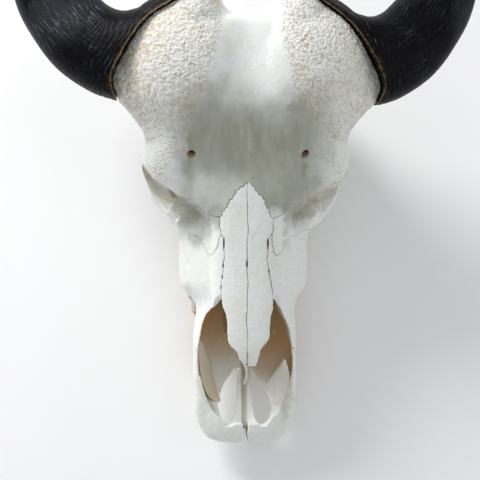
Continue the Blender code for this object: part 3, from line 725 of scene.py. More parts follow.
# The rim of the nose from the side, as y and z
NOSE_RIM = [(-130, -13), (-138, -20), (-156, -30), (-185, -37), (-225, -43), (-262, -47), (-290, -50)]


def nose_opening():
    """What is cut away round the nose: all above its rim from the side, and all inside it from the front."""
    outline = [tuple(p) for p in smooth_rows(NOSE_RIM, 6)] + [(-325, -50), (-325, 70), (-130, 70)]
    above = prism("above", outline, -90, 90, "X")
    right = [(-x, y) for x, y in smooth_rows(NOSE_MARGIN[-1], 4)]
    left = [(x, y) for x, y in smooth_rows(NOSE_MARGIN[1], 4)]
    outline = [(-20, -131), *right, (-40, -235), (40, -235), *left[::-1], (20, -131)]
    inside = prism("inside", outline, -62, 70, "Z")
    for side in (1, -1):
        for cutter in (above, inside):
            cut(cutter, nasal_cutter("keep", side))
    return [above, inside]


FISSURE = {
    # the long hole through the palate, round from its back end along the middle bar
    1: [
        (6.7, -219), (8.1, -235.5), (9.9, -253.5), (11.7, -273.9), (14.7, -283.5), (20.7, -287.1),
        (27.9, -282.3), (31.5, -271.5), (31.5, -263.1), (27.9, -250.8), (24.3, -243), (17.7, -233.9),
        (12.3, -223.2),
    ],
    -1: [
        (10.5, -217.5), (8.7, -226), (8.1, -236.4), (9.9, -259.2), (11.7, -277.3), (14.8, -284.5),
        (22, -286.9), (28, -281), (30.6, -271), (32, -260), (27, -246), (23.2, -237.6), (14.8, -227),
    ],
}


def fissure(side):
    """The long hole through the palate beside the midline."""
    outline = smooth_rows(FISSURE[side] + FISSURE[side][:1], 4)[:-1]
    return prism("fissure", [(side * x, y) for x, y in outline], -120, -36, "Z")


# x, y and radius of the small vessel holes of each side
DUCTS = {1: [(63, -29.2, 1.3)], -1: [(-65, -28.4, 1.3), (-47, 7, 1.1)]}
# Stations of the canals: those of the left side run on both sides
SOCKET = [(22, 35), (6, 32), (-3, 31), (-14, 31), (-28, 26), (-40, 17), (-46, 8)]
SUPRAORBITAL = [(65, 20, 2, 5.6, 3.6), (66, 31, -11, 5.4, 3.5), (66, 46, -29, 4.4, 3.2)]
INFRAORBITAL = [(84, -172, -84, 5, 6), (64, -156, -84, 4.5, 5.5), (56, -140, -84, 3, 4)]
FORAMEN_MAGNUM = [
    (0, 186, -158, 19, 17), (0, 150, -150, 19, 17),
    (0, 118, -138, 18, 16), (0, 96, -128, 10, 9),
]
CHOANA = [(0, 14, -168, 19, 17), (0, -10, -142, 19, 15), (0, -34, -120, 17, 15)]


def openings():
    """Everything that is cut out of the whole skull before it is parted into bones."""
    cutters = []
    for side, _ in SIDES:
        cutters.append(swept("socket", along_orbit(side, SOCKET), across=(0, 0, 1), count=56))
        cutters.append(brow_cutter(side))
        cutters.append(cheek_notch(side))
        cutters.append(ball("temporal_fossa", (side * 90, 60, -86), (18, 27, 24), turn=(0, 0, side * 12)))
        slant = (0.8, 0.6, 0) if side > 0 else (1, 0.15, 0)
        hole = [(side * x, *rest) for x, *rest in SUPRAORBITAL]
        cutters.append(shaped(swept("supraorbital", hole, across=slant), []))
        for x, y, radius in DUCTS[side]:
            angles = np.linspace(0, 2 * math.pi, 11)[:-1]
            ring = [(x + radius * math.cos(a), y + radius * math.sin(a)) for a in angles]
            cutters.append(prism("duct", ring, -34, 30, "Z"))
        canal = [(side * x, *rest) for x, *rest in INFRAORBITAL]
        cutters.append(swept("infraorbital", canal, across=(0, 0, 1)))
        cutters.append(fissure(side))
    cutters.append(swept("foramen_magnum", FORAMEN_MAGNUM, across=(1, 0, 0)))
    cutters.append(swept("choana", CHOANA, across=(1, 0, 0)))
    return cutters


BROW_LINE = {
    # the thin upper rim of the orbit from the temple to its inner corner
    1: [(122, 30), (119, 22), (115, 9), (106, -2.5), (100.6, -6), (90, -9), (81, -12), (77, -14)],
    -1: [(126, 32), (124, 25), (119, 17), (113, 11), (106, 4), (97, -4), (88, -9), (79, -15)],
}
LACRIMAL_RIM = {
    # the ragged edge of the lacrimal, down from there
    1: [
        (77, -14), (82, -18), (86.4, -22), (89, -26), (90, -32),
        (85, -35), (79, -37), (77, -44), (75.6, -49),
    ],
    -1: [(79, -15), (83, -19.5), (90.5, -30.5), (86, -34), (80, -37), (78, -42), (85, -49)],
}


def brow_cutter(side):
    """The open side of the orbit: nothing hangs over the cheekbone in front of the brow."""
    edge = meander(BROW_LINE[side], 1.0, 5, 121 + side)
    edge += meander(LACRIMAL_RIM[side], 2.0, 4.5, 131 + side)[1:]
    outline = edge + [(96, -62), (150, -50), (150, 30)]
    gap, _ = nearest_on(np.array(outline, np.float32), edge)
    rings = []
    for top in (True, False):
        level = [60 if top else -74 - 0.5 * min(reach, 40) for reach in gap]
        rings.append(np.array([(side * x, y, z) for (x, y), z in zip(outline, level)]))
    return object_from_rings("brow", rings)


CHEEK_NOTCH = {
    # where the cheekbone steps out from the side of the face, up from the line of the teeth
    1: [(77.5, -78), (78, -66.7), (78.8, -54.5), (84, -50.5), (88.5, -48.6), (95, -46.5)],
    -1: [(78.5, -78), (79, -62), (80, -52), (84, -48.5), (90, -46.4), (97, -46)],
}


def cheek_notch(side):
    """What lies outside the step from the side of the face to the cheekbone."""
    outline = CHEEK_NOTCH[side] + [(125, -60), (125, -80)]
    return prism("notch", [(side * x, y) for x, y in outline], -140, -20, "Z")


def premaxilla_channel():
    """The groove between the two premaxillae, with a thin floor, and the notch at its front."""
    side_view = [(-294, palate_z(-294) + 2.5), (-150, palate_z(-150) + 3), (-150, -40), (-294, -40)]
    groove = prism("channel", side_view, -3.1, 2.7, "X")
    notch = prism("notch", [(-1.2, -292), (-4.6, -320), (4.6, -320), (1.2, -292)], -110, 0, "Z")
    return [groove, notch]


def rim_line():
    """Where the sheath begins, seen from the front: the outer edge of the bare bone."""
    return smooth_rows([(149, 95), (156, 116), (148, 140), (118, 186), (85, 209), (64, 224), (56, 270)], 4)


OUTSIDE = 300  # past the outer side of the horns
SHEATH_FOOT = -96  # the lowest level of the base of a sheath
# What the base of a sheath leaves free below the horn, so that the horn runs straight on from the bone
SHEATH_UNDERSIDE = [
    (136, 40), (141, 90), (150, 96), (160, 103), (172, 109), (200, 122),
    (OUTSIDE, 150), (OUTSIDE, 40),
]


def outline_sheath(reach, seed):
    """The rim of the sheath with a ragged edge, and its ends past the outer side of the horns."""
    return [(OUTSIDE, 60)] + meander(rim_line(), reach, 6, seed) + [(OUTSIDE, 270)]


def sheath_side(name, side, reach=0.0, seed=0):
    """All that lies outside the rim of the sheath."""
    outline = outline_sheath(reach, seed)
    return prism(name, dropped([(side * x, y) for x, y in outline]), SHEATH_FOOT, TOP, "Z")


def bone_side(name, side, reach=0.0, seed=0):
    """All that lies inside the rim of the sheath."""
    outline = outline_sheath(reach, seed)[:-1] + [(-40, 270), (-40, 0), (OUTSIDE, 0)]
    return prism(name, dropped([(side * x, y) for x, y in outline]), BOTTOM, TOP, "Z")


HORN_STATIONS = [
    # x, y, z of the middle, half width, half thickness, direction of the width in degrees
    (112, 155, -38, 68, 40, 120),
    (134, 155, -42, 61, 43, 116),
    (161, 155, -50, 51, 43, 114),
    (189, 171, -60, 47.5, 41, 130),
    (210, 195, -68, 45, 39, 146),
    (228, 223, -73, 42.5, 37, 158),
    (241, 262, -74, 38, 34, 169),
    (244, 306, -68, 32, 29, 182),
    (236, 350, -56, 26, 24, 196),
    (217, 391, -40, 19, 18, 212),
    (189, 424, -24, 12, 11.5, 228),
    (160, 443, -12, 5.5, 5.5, 238),
    (152, 446, -10, 3, 3, 240),
]


def horn_rows(side, steps):
    """The stations of one horn on its own side, close together."""
    rows = smooth_rows(HORN_STATIONS, steps)
    rows[:, 0] = side * (rows[:, 0] + (LEFT_HORN_SPREAD if side > 0 else RIGHT_HORN_SPREAD))
    rows[:, :3] = dropped(rows[:, :3])
    return rows


def horn_loft(side):
    """The horn as it leaves the skull: a broad base, a droop outwards, then up and in to the tip."""
    wide, high = oval(2.4, 72)
    rings = []
    for x, y, z, half_width, half_thick, heading in horn_rows(side, 8):
        along = np.array([side * math.cos(math.radians(heading)), math.sin(math.radians(heading)), 0])
        ring = np.array([x, y, z]) + np.outer(wide * half_width, along)
        ring[:, 2] += high * half_thick
        rings.append(ring)
    return mark_faces(object_from_rings("horn", rings), 0)


# The lines where the bones meet. Each side has its own, because the two halves of a skull are never alike.
NASAL_SUTURE = {
    1: [(1, 0), (8, -9), (16, -17.5), (21, -29), (25.5, -38), (29, -43)],
    -1: [(1, 0), (15, -11.5), (23, -24), (28, -32.5), (33, -41)],
}
NASAL_FLANK = {
    1: [(29, -43), (28.3, -57), (23.5, -67), (22.3, -76), (21.8, -91), (24.5, -107), (28.5, -129)],
    -1: [(33, -41), (33.5, -48.5), (32, -59), (29, -66), (28.2, -76), (28, -86), (29.8, -107), (31.5, -127)],
}
NASAL_MARGIN = {
    1: [
        (28.5, -129), (29, -146), (26, -158), (24.5, -182), (18, -189.5),
        (14, -195.5), (12.5, -203), (9, -213.5),
    ],
    -1: [
        (31.5, -127), (30, -141), (25, -156), (23.5, -183), (19.5, -191),
        (14, -195.5), (9.8, -205), (3, -214.5),
    ],
}
LACRIMAL_EDGE = {
    1: [
        (27.6, -57), (27.6, -72.5), (30, -82), (34, -84.5), (39, -82), (43, -77), (43.5, -70),
        (48.5, -65.5), (54, -62), (62, -61), (68, -55), (92, -50),
    ],
    -1: [
        (32.5, -62), (36.8, -77), (41, -84), (45, -84), (49, -76),
        (52, -68), (59, -61), (68, -57), (92, -50),
    ],
}
FRONTAL_EDGE = {
    1: [(92, -38), (82, -26), (64, -27), (47, -31), (38, -38), (20, -46)],
    -1: [(92, -38), (82, -26), (66, -26), (55, -30), (44, -37), (20, -46)],
}
SLITS = [
    # x, y at each end, width: where the sutures gape
    (-28.4, -64, -77, 1.9),
    (22.4, -65, -77, 1.7),
    (-29.2, -94, -99, 1.3),
    (-30.2, -107, -112, 1.2),
    (-31.6, -119, -124, 1.2),
    (24.2, -101, -106, 0.9),
    (-1.9, -90, -99, 1.5),
    (-0.9, -196, -222, 2.0),
]
SUTURE_HALF_GAP = 0.05


def midline(y):
    """How far the seam between the two nasal bones wanders from the middle."""
    return -1.4 + 0.5 * math.sin(y / 11) + 0.35 * math.sin(y / 4.7 + 1)


def nasal_cutter(name, side):
    """One nasal bone from above: a pointed arch at the forehead, a waist, and a stepped tip over the nose."""
    outer = meander(NASAL_SUTURE[side], 1.3, 6, 11 + side)
    outer += meander(NASAL_FLANK[side], 0.7, 8, 21 + side)[1:]
    outer += meander(NASAL_MARGIN[side], 0.35, 13, 31 + side)[1:]
    inner = [(side * midline(y) + SUTURE_HALF_GAP, y) for y in np.linspace(0, outer[-1][1], 140)]
    outline = [inner[0]] + outer + inner[:0:-1]
    return prism(name, [(side * x, y) for x, y in outline], -NASAL_DEPTH, 60, "Z")


def slits():
    """The thin openings where the sutures gape."""
    cutters = []
    for x, start, end, width in SLITS:
        ys = np.linspace(start, end, 12)
        half = 0.5 * width * np.sin(np.linspace(0.12, math.pi - 0.12, 12)) ** 0.6
        outline = list(zip(x - half, ys)) + list(zip(x + half, ys))[::-1]
        cutters.append(prism("slit", outline, -16, 8, "Z"))
    return cutters


def premaxilla_cutter(name, side):
    """All in front of the slanted suture that runs up to the rim of the nose."""
    outline = [(-330, -220), (-330, 60), (-150, 60)]
    outline += meander([(-150, 60), (-172, -33), (-225, -95), (-238, -220)], 1.2, 9, 41 + side)[1:]
    return prism(name, outline, side * SUTURE_HALF_GAP, side * 120, "X")


def lacrimal_cutter(name, side):
    """The bone in front of the orbit, between the nasal bone and the cheekbone."""
    outline = [(18, -50)] + meander(LACRIMAL_EDGE[side], 0.9, 6, 51 + side)
    outline += meander(FRONTAL_EDGE[side], 1.0, 6, 61 + side)
    return prism(name, [(side * x, y) for x, y in outline], -LACRIMAL_DEPTH, 60, "Z")


def cheekbone_cutter(name, side):
    """The block that holds the cheekbone: under the lacrimal, out to the suture of the arch."""
    outline = [(60, -66), (160, -66), (160, 46), (92, 46), (84, -4)]
    outline = meander(outline + outline[:1], 1.0, 9, 71 + side)[:-1]
    return prism(name, [(side * x, y) for x, y in outline], -CHEEKBONE_DEPTH, -LACRIMAL_DEPTH - 0.5, "Z")


def maxilla_cutter(name, side):
    """All in front of the lacrimal above, and of the end of the tooth row below."""
    outline = [(-330, 60), (-62, 60)]
    outline += meander([(-62, 60), (-62, -74), (-26, -82), (-26, -120), (-20, -220)], 1.0, 10, 81 + side)[1:]
    return prism(name, outline + [(-330, -220)], side * SUTURE_HALF_GAP, side * 120, "X")


# The seam under the frontal bones from the side, as y and z
FRONTAL_SEAM = [
    (-75, -72), (-62, -74), (-26, -82), (-8, -84), (10, -76),
    (50, -76), (110, -72), (140, -60), (260, -60),
]


def frontal_cutter(name):
    """The forehead with both horn cores: all above the orbit's lower half and the top of the braincase."""
    outline = [(-75, 60)] + meander(FRONTAL_SEAM, 1.6, 12, 91) + [(260, 60)]
    return prism(name, outline, -200, 200, "X")


def parted(skull, cutter, name):
    """One bone taken out of the skull with a thin gap all round, which leaves the rest in skull."""
    bone = copy_of(skull, name)
    boolean(bone, cutter, "INTERSECT")
    cut(skull, grown(cutter, 2 * SUTURE_HALF_GAP))
    return keep_largest(bone)


def leaf(name, near, far, thickness, arch=0.0):
    """A thin plate of bone between two edges, each a list of points, arched up by a height in its middle."""
    near, far = smooth_rows(near, 6), smooth_rows(far, 6)
    middle = (near + far) / 2
    share = np.linspace(0, 1, 9)[:, None]
    half = 0.5 * thickness * np.sin(np.pi * np.clip(share, 0.04, 0.96)) ** 0.4
    rings = []
    for i, (start, end) in enumerate(zip(near, far)):
        along = middle[min(i + 1, len(middle) - 1)] - middle[max(i - 1, 0)]
        out = Vector(end - start).cross(Vector(along)).normalized()
        out = np.array(out if out.z > 0 else -out)
        sheet = start + share * (end - start) + out * arch * np.sin(np.pi * share)
        thin = min(1, 0.35 + 0.3 * min(i, len(middle) - 1 - i))
        rings.append(np.vstack([sheet + out * half * thin, (sheet - out * half * thin)[::-1]]))
    return object_from_rings(name, rings)


NOSE_LEAVES = [
    # thickness, arch, stain, then the near edge and the far edge: the plate inside the right wall
    (
        2.4, 2.5, 0.5,
        [
            (-55, -186, -50), (-55, -206, -54), (-53.5, -223, -56),
            (-50.5, -238, -58), (-44, -252, -64), (-33, -262, -76),
        ],
        [
            (-52, -188, -62), (-43, -206, -73), (-39, -221, -80),
            (-35, -236, -84), (-31, -249, -86), (-29, -259, -86),
        ],
    ),
    # the ragged one inside the left wall
    (
        2.4, 2.0, 0.28,
        [
            (45.5, -207, -53), (33, -229, -75), (26, -243, -86),
            (29, -253, -87), (31, -262, -86), (32, -274, -84),
        ],
        [
            (47, -208, -53), (52, -226, -56), (51, -241, -57),
            (48, -253, -60), (43, -263, -65), (36, -275, -73),
        ],
    ),
    # what is left of the scrolls between the fissures
    (
        1.4, 2.0, 0.4,
        [(-10.4, -218, -52), (-11, -228, -60), (-8, -237, -74)],
        [(-6.2, -217, -50), (-5, -229, -60), (-5, -238, -76)],
    ),
    (
        1.4, 2.0, 0.4,
        [(-2.7, -215, -48), (-0.3, -226, -56), (-2, -238, -72)],
        [(2.1, -216, -48), (3.3, -228, -58), (1, -239, -74)],
    ),
]


def floor_cutter():
    """All that lies under the floor, in the face frame."""
    side_view = [(-450, floor_z(-450)), (600, floor_z(600)), (600, -600), (-450, -600)]
    return prism("floor", side_view, -400, 400, "X")


RIDGES = [
    # line, radius, height: the thick upper rim of the orbit, and the groove that runs to it
    ([(112, 14, -34), (108, -8, -26), (97, -26, -27), (83, -35, -34)], 6, 2.2),
    ([(66, 20, 2), (65, 4, -1), (60, -14, -3), (52, -34, -6)], 4, -1.6),
    # the line of the temple, from the orbit up to the horn
    ([(108, 34, -26), (112, 56, -24), (124, 82, -22)], 6, 1.6),
    # the crest from the face tuber back to the cheekbone
    ([(74, -104, -104), (82, -80, -104), (96, -50, -104), (110, -18, -108)], 5, 1.6),
    # the low ridge along the middle of the forehead
    ([(0, 4, 0), (0, 40, 0), (0, 86, 2)], 5, 1.2),
    # the nuchal line, and the ridge down from the middle of the nape
    ([(4, 160, -66), (40, 158, -62), (76, 146, -66), (98, 126, -82)], 7, 3.4),
    ([(0, 160, -66), (0, 160, -96), (0, 158, -124)], 6, 4.5),
    # the middle seam of the palate, and the grooves beside it
    ([(0, -200, palate_z(-200)), (0, -120, palate_z(-120)), (0, -40, palate_z(-40))], 3, 1.5),
    ([(18, -205, palate_z(-205)), (24, -150, palate_z(-150)), (22, -80, palate_z(-80))], 4, -1.4),
]


# How strong the grey-green dust and the painted shade under the lobes are across the forehead, and how far up
# they reach
DUST_AND_SHADE_ACROSS = [
    (-104, 0), (-92, 0.08), (-82, 0.42), (-68, 1),
    (56, 1), (66, 0.95), (76, 0.7), (90, 0.35), (104, 0.05),
]
DUST_AND_SHADE_TOP = [
    (-97, 78), (-82, 90), (-66, 94), (-49, 111), (-33, 108), (-17, 101),
    (0, 98), (17, 99), (31, 89), (44, 92), (58, 98), (90, 104),
]
DUST_AND_SHADE_PATCHES = [
    # centre and radii in plan, share: dust and painted shade in the grooves of the brow, on the lacrimals and
    # at the sides of the nasal root
    (66, 16, 8, 15, 1.15),
    (-66, 40, 7, 26, 1.15),
    (56, 82, 19, 17, 0.8),
    (-71, -44, 25, 23, 1.0),
    (-80, -58, 10, 14, 0.9),
    (56, -38, 16, 18, 0.85),
    (72, -36, 12, 14, 0.8),
    (-38, -36, 12, 14, 0.7),
    # dust and painted shade on the flank above the teeth, and on the sides of the snout
    (-77, -128, 6, 26, 0.36),
    (-50, -246, 9, 34, 0.3),
    (50, -252, 9, 30, 0.34),
    (60, -70, 16, 12, 0.4),
]


def cloud(x, y, size, seed):
    """Smooth random values between -1 and 1 over the plan, with a spacing in millimetres."""
    table = np.random.default_rng(seed).uniform(-1, 1, (256, 256))
    u, v = x / size + 128, y / size + 128
    i, j = np.floor(u).astype(int), np.floor(v).astype(int)
    s, t = smooth_step(u - i, 0, 1), smooth_step(v - j, 0, 1)
    i, j = i % 255, j % 255
    near = table[i, j] * (1 - s) + table[i + 1, j] * s
    far = table[i, j + 1] * (1 - s) + table[i + 1, j + 1] * s
    return near * (1 - t) + far * t


# Where the bone is rough like coral: y with the inner edge of the lobes, and the line of the brow on the left
LOBE_EDGE = [(40, 122), (49, 98), (67, 74), (96, 51), (142, 39), (188, 31), (230, 26)]
ROUGH_BROW = [(80, 60), (93, 38), (105, 14), (98, -16), (78, -33), (62, -36)]
FINE_ROUGHNESS = 0.12  # of all the bone


def write_masks(skull):
    """Where the bone is rough like coral, how its bumps lie there, where it is stained, and where shade is
    painted on it.
    """
    points = read(skull)
    x, y, z = points.T
    z = z - rise_at(points)
    aside = np.abs(x)
    gap, place = nearest_on(dropped_back(points), rim_line())
    lobes = smooth_step(aside - np.interp(y, *zip(*LOBE_EDGE)), -7, 9) * smooth_step(y, 36, 52)
    lobes = np.maximum(lobes * smooth_step(z, -86, -60), 0.9 * smooth_step(26 - gap, 0, 14))
    brow = np.zeros(len(points), np.float32)
    for side, _ in SIDES:
        near, _ = nearest_on(points[:, :2], [(side * px, py) for px, py in ROUGH_BROW])
        brow = np.maximum(brow, 0.75 * np.exp(-((near / 11) ** 2)) * smooth_step(z, -70, -50))
    middle = 0.8 * np.exp(-((x / 5) ** 2)) * smooth_step(y, 0, 6) * smooth_step(92 - y, 0, 24)
    middle = middle * smooth_step(z, -30, -15)
    nape = 0.35 * smooth_step(y, 128, 150) * smooth_step(-z, 40, 64) + FINE_ROUGHNESS
    write(skull, "rough", np.maximum.reduce([lobes, brow, middle, nape]))
    combed = smooth_step(150 - y, 0, 50) * smooth_step(70 - gap, 0, 40) * smooth_step(aside, 60, 90)
    write(skull, "combed", combed)
    write(skull, "lie", np.column_stack([place * 0.4, gap, z * 0.6]))
    ochre = smooth_step(-x, 60, 120) * smooth_step(60 - gap, 0, 55) * smooth_step(y, 60, 110)
    write(skull, "ochre", np.maximum(ochre, 0.2 * lobes))
    write_stains(skull)


BAND_SHIFT = (4.5, -3.9)  # from the line of the brow to the middle of the band of painted shade under it
HOLE_PLACE = (66, 33)  # of the painted shade in each supraorbital hole


def strayed(values, x, y, reach, size, seed):
    """The values with a wander of a few millimetres in plan, on three scales."""
    values = values + reach * cloud(x, y, size, seed)
    return values + 3 * cloud(x, y, 6, seed + 1) + 2 * cloud(x, y, 2.7, seed + 2)


def write_stains(bone, dust_and_shade_share=1.0):
    """Where the bone is dusty or has painted shade, where dried tissue stained it, and where its seams have
    faded.
    """
    points = read(bone)
    x, y, z = points.T
    z = z - rise_at(points)
    aside = np.abs(x)
    # The dust and painted shade of the forehead: full between the brows, fading up towards the lobes and down
    # to the nose, lighter along the middle
    stray_x = strayed(x, x, y, 6, 17, 1)
    stray_y = strayed(y, x, y, 7, 15, 4)
    top = np.interp(stray_x, *zip(*DUST_AND_SHADE_TOP))
    dust_and_shade = np.interp(stray_x, *zip(*DUST_AND_SHADE_ACROSS)) * smooth_step(top + 28 - stray_y, 0, 72)
    lighter_middle = 1 - 0.45 * smooth_step(22 - stray_y, 0, 30) * smooth_step(6 - x, 0, 14)
    dust_and_shade *= smooth_step(stray_y, -46, -28) * lighter_middle
    dust_and_shade *= 0.88 + 0.1 * cloud(x, y * 0.4, 9, 7) + 0.08 * cloud(x, y * 0.3, 3, 8)
    ridge = np.exp(-(((x + cloud(y, y, 13, 10)) / 2.4) ** 2))
    dust_and_shade *= 1 - ridge * (0.24 + 0.14 * cloud(x * 0.1, y, 3.5, 11))
    # Patches of dust and painted shade on the brow, the lacrimals, the flank and the snout
    for cx, cy, rx, ry, share in DUST_AND_SHADE_PATCHES:
        reach = ((stray_x - cx) / rx) ** 2 + ((stray_y - cy) / ry) ** 2
        dust_and_shade = np.maximum(dust_and_shade, share * np.exp(-(reach**2)))
    low = -60 - 34 * smooth_step(-y, 80, 130)
    # Painted shade on the floor of the groove between the premaxillae
    groove = smooth_step(3.6 - np.abs(x + 0.2), 0, 1) * smooth_step(-y, 216, 224) * smooth_step(-z, 62, 70)
    dust_and_shade = np.maximum(dust_and_shade * smooth_step(z, low, low + 30), 0.35 * groove)

    margin = np.zeros(len(points), np.float32)
    for side, _ in SIDES:
        rim = np.array(NOSE_MARGIN[side])
        margin = np.where(x * side > 0, np.interp(-y, -rim[:, 1], rim[:, 0]), margin)
    deep = smooth_step(-z, 20, 28)
    inside = smooth_step(margin + 0.7 + 1.3 * deep - aside, 0, 1.2) * smooth_step(-y, 130, 134)
    inside *= np.maximum(deep, smooth_step(-z, 8, 11) * smooth_step(aside, 32, 33))
    umber = inside * (0.16 + 0.84 * smooth_step(y + 22 * (x > 0), -240, -160)) * smooth_step(y, -276, -236)
    flank = smooth_step(aside, 36, 46)
    faint = flank * (0.6 * smooth_step(y, -100, -90) + 0.35 * smooth_step(y, -52, -44))
    write(bone, "faint", np.maximum(inside, faint))

    for side, _ in SIDES:
        # Painted shade in the band under the brow, inside the orbit
        band = [(side * (px + BAND_SHIFT[0]), py + BAND_SHIFT[1]) for px, py in BROW_LINE[side]]
        near, _ = nearest_on(points[:, :2], band)
        under = smooth_step(7.5 - near, 0, 3) * smooth_step(-z, 26, 32) * smooth_step(104 + z, 0, 24)
        under *= 0.7 + 0.3 * cloud(y, z, 7, 9)
        dust_and_shade = np.maximum(dust_and_shade, under)
        # Painted shade inside each supraorbital hole
        hole = np.sqrt((x - side * HOLE_PLACE[0]) ** 2 + (y - HOLE_PLACE[1]) ** 2)
        hole = smooth_step(9 - hole, 0, 2) * smooth_step(-z, 13, 16) * smooth_step(z, -50, -40)
        umber = np.maximum.reduce([umber, 0.64 * under, hole])
    write(bone, "umber", umber)
    write(bone, "dust_and_shade", dust_and_shade_share * dust_and_shade)


def dropped_back(points):
    """The points in plan as they were before dropped, on the side where the line of the rim is drawn."""
    out = points - (EYE - points) * (rise_at(points) / EYE[2])[:, None]
    out[:, 1] += LEFT_HORN_DROP * smooth_step(out[:, 0], 70, 140) * smooth_step(out[:, 1], 60, 110)
    out[:, 0] = np.abs(out[:, 0])
    return out[:, :2]


# Node trees
def add_node(tree, kind, inputs=None, **settings):
    """Adds a node with its settings. An input takes a value, a socket, or a node for its first output."""
    made = tree.nodes.new(kind)
    for name, value in settings.items():
        setattr(made, name, value)
    for key, value in (inputs or {}).items():
        named = isinstance(key, str)
        target = next(s for s in made.inputs if s.enabled and s.name == key) if named else made.inputs[key]
        if isinstance(value, bpy.types.Node):
            value = next(s for s in value.outputs if s.enabled)
        if isinstance(value, bpy.types.NodeSocket):
            tree.links.new(value, target)
        else:
            target.default_value = value
    return made


def geometry_tree(name, numbers):
    """An empty geometry tree with numbers and a material as its inputs. It gives tree, inputs and output."""
    tree = bpy.data.node_groups.new(name, "GeometryNodeTree")
    tree.is_modifier = True
    tree.interface.new_socket("Geometry", in_out="INPUT", socket_type="NodeSocketGeometry")
    for label, value in numbers.items():
        tree.interface.new_socket(label, in_out="INPUT", socket_type="NodeSocketFloat").default_value = value
    tree.interface.new_socket("Material", in_out="INPUT", socket_type="NodeSocketMaterial")
    tree.interface.new_socket("Geometry", in_out="OUTPUT", socket_type="NodeSocketGeometry")
    return tree, tree.nodes.new("NodeGroupInput").outputs, tree.nodes.new("NodeGroupOutput").inputs


def end_tree(tree, inputs, outputs, geometry):
    """Ends a tree in real geometry with its material set."""
    real = add_node(tree, "GeometryNodeRealizeInstances", {"Geometry": geometry})
    painted = add_node(tree, "GeometryNodeSetMaterial", {"Geometry": real, "Material": inputs["Material"]})
    tree.links.new(painted.outputs[0], outputs["Geometry"])
    return tree


def end_pushed(tree, given, out, name, value, high):
    """Stores value under a name, pushes the surface out by high, in mm, and ends the tree."""
    stored = {"Geometry": given["Geometry"], "Name": name, "Value": value}
    stored = add_node(tree, "GeometryNodeStoreNamedAttribute", stored)
    high = add_node(tree, "ShaderNodeMath", {0: high, 1: MM}, operation="MULTIPLY")
    normal = tree.nodes.new("GeometryNodeInputNormal")
    push = add_node(tree, "ShaderNodeVectorMath", {0: normal, "Scale": high}, operation="SCALE")
    moved = add_node(tree, "GeometryNodeSetPosition", {"Geometry": stored, "Offset": push})
    return end_tree(tree, given, out, moved)


def run_tree(obj, tree, **values):
    """Runs a geometry tree on the object and keeps its result as a plain mesh."""
    modifier = obj.modifiers.new(tree.name, "NODES")
    modifier.node_group = tree
    for item in tree.interface.items_tree:
        if item.in_out == "INPUT" and item.name in values:
            modifier[item.identifier] = values[item.name]
    return apply_modifiers(obj)


def bead_cells(tree, where, size, stir, reach):
    """How far each place is from the middle of its cell, about size mm wide and stirred by a noise."""
    noise = add_node(tree, "ShaderNodeTexNoise", {"Vector": where, "Scale": stir, "Detail": 2.0})
    moved = {0: noise.outputs["Color"], "Scale": reach}
    moved = add_node(tree, "ShaderNodeVectorMath", moved, operation="SCALE")
    moved = add_node(tree, "ShaderNodeVectorMath", {0: where, 1: moved})
    per_size = add_node(tree, "ShaderNodeMath", {0: 1.0, 1: size}, operation="DIVIDE")
    inputs = {"Vector": moved, "Scale": per_size, "Smoothness": 0.25, "Randomness": 1.0}
    return add_node(tree, "ShaderNodeTexVoronoi", inputs, feature="SMOOTH_F1").outputs["Distance"]


def relief_tree():
    """Coral-like beads, combed bumps near the horns and a soft unevenness of the bone."""
    numbers = {"Bead size": 2.9, "Bead height": 0.75, "Comb size": 2.0, "Unevenness": 0.9, "Grain": 0.12}
    tree, given, out = geometry_tree("bone_relief", numbers)
    place = tree.nodes.new("GeometryNodeInputPosition")
    place = add_node(tree, "ShaderNodeVectorMath", {0: place, "Scale": 1 / MM}, operation="SCALE")
    rough = add_node(tree, "GeometryNodeInputNamedAttribute", {"Name": "rough"})
    combed = add_node(tree, "GeometryNodeInputNamedAttribute", {"Name": "combed"})
    lie = add_node(tree, "GeometryNodeInputNamedAttribute", {"Name": "lie"}, data_type="FLOAT_VECTOR")

    beads = bead_cells(tree, place, given["Bead size"], 0.11, 5.0)
    comb = bead_cells(tree, lie, given["Comb size"], 0.12, 5.0)
    shape = add_node(tree, "ShaderNodeMix", {"Factor": combed, "A": beads, "B": comb})
    shape = add_node(tree, "ShaderNodeMapRange", {0: shape, 1: 0.3, 2: 0.75, 3: 1.0, 4: -0.6})
    broken = add_node(tree, "ShaderNodeTexNoise", {"Vector": place, "Scale": 0.16, "Detail": 3.0})
    broken = add_node(tree, "ShaderNodeMapRange", {0: broken, 1: 0.3, 2: 0.65, 3: 0.35, 4: 1.2})
    for share in (broken, rough):
        shape = add_node(tree, "ShaderNodeMath", {0: shape, 1: share}, operation="MULTIPLY")
    high = add_node(tree, "ShaderNodeMath", {0: shape, 1: given["Bead height"]}, operation="MULTIPLY")
    for scale, name in ((0.04, "Unevenness"), (0.4, "Grain")):
        wave = add_node(tree, "ShaderNodeTexNoise", {"Vector": place, "Scale": scale, "Detail": 2.0})
        wave = add_node(tree, "ShaderNodeMath", {0: wave, 1: 0.5}, operation="SUBTRACT")
        high = add_node(tree, "ShaderNodeMath", {0: wave, 1: given[name], 2: high}, operation="MULTIPLY_ADD")
    return end_pushed(tree, given, out, "relief", shape, high)


SHELTER_RAYS = 16
RAY_START = 1.2 * MM  # above the surface


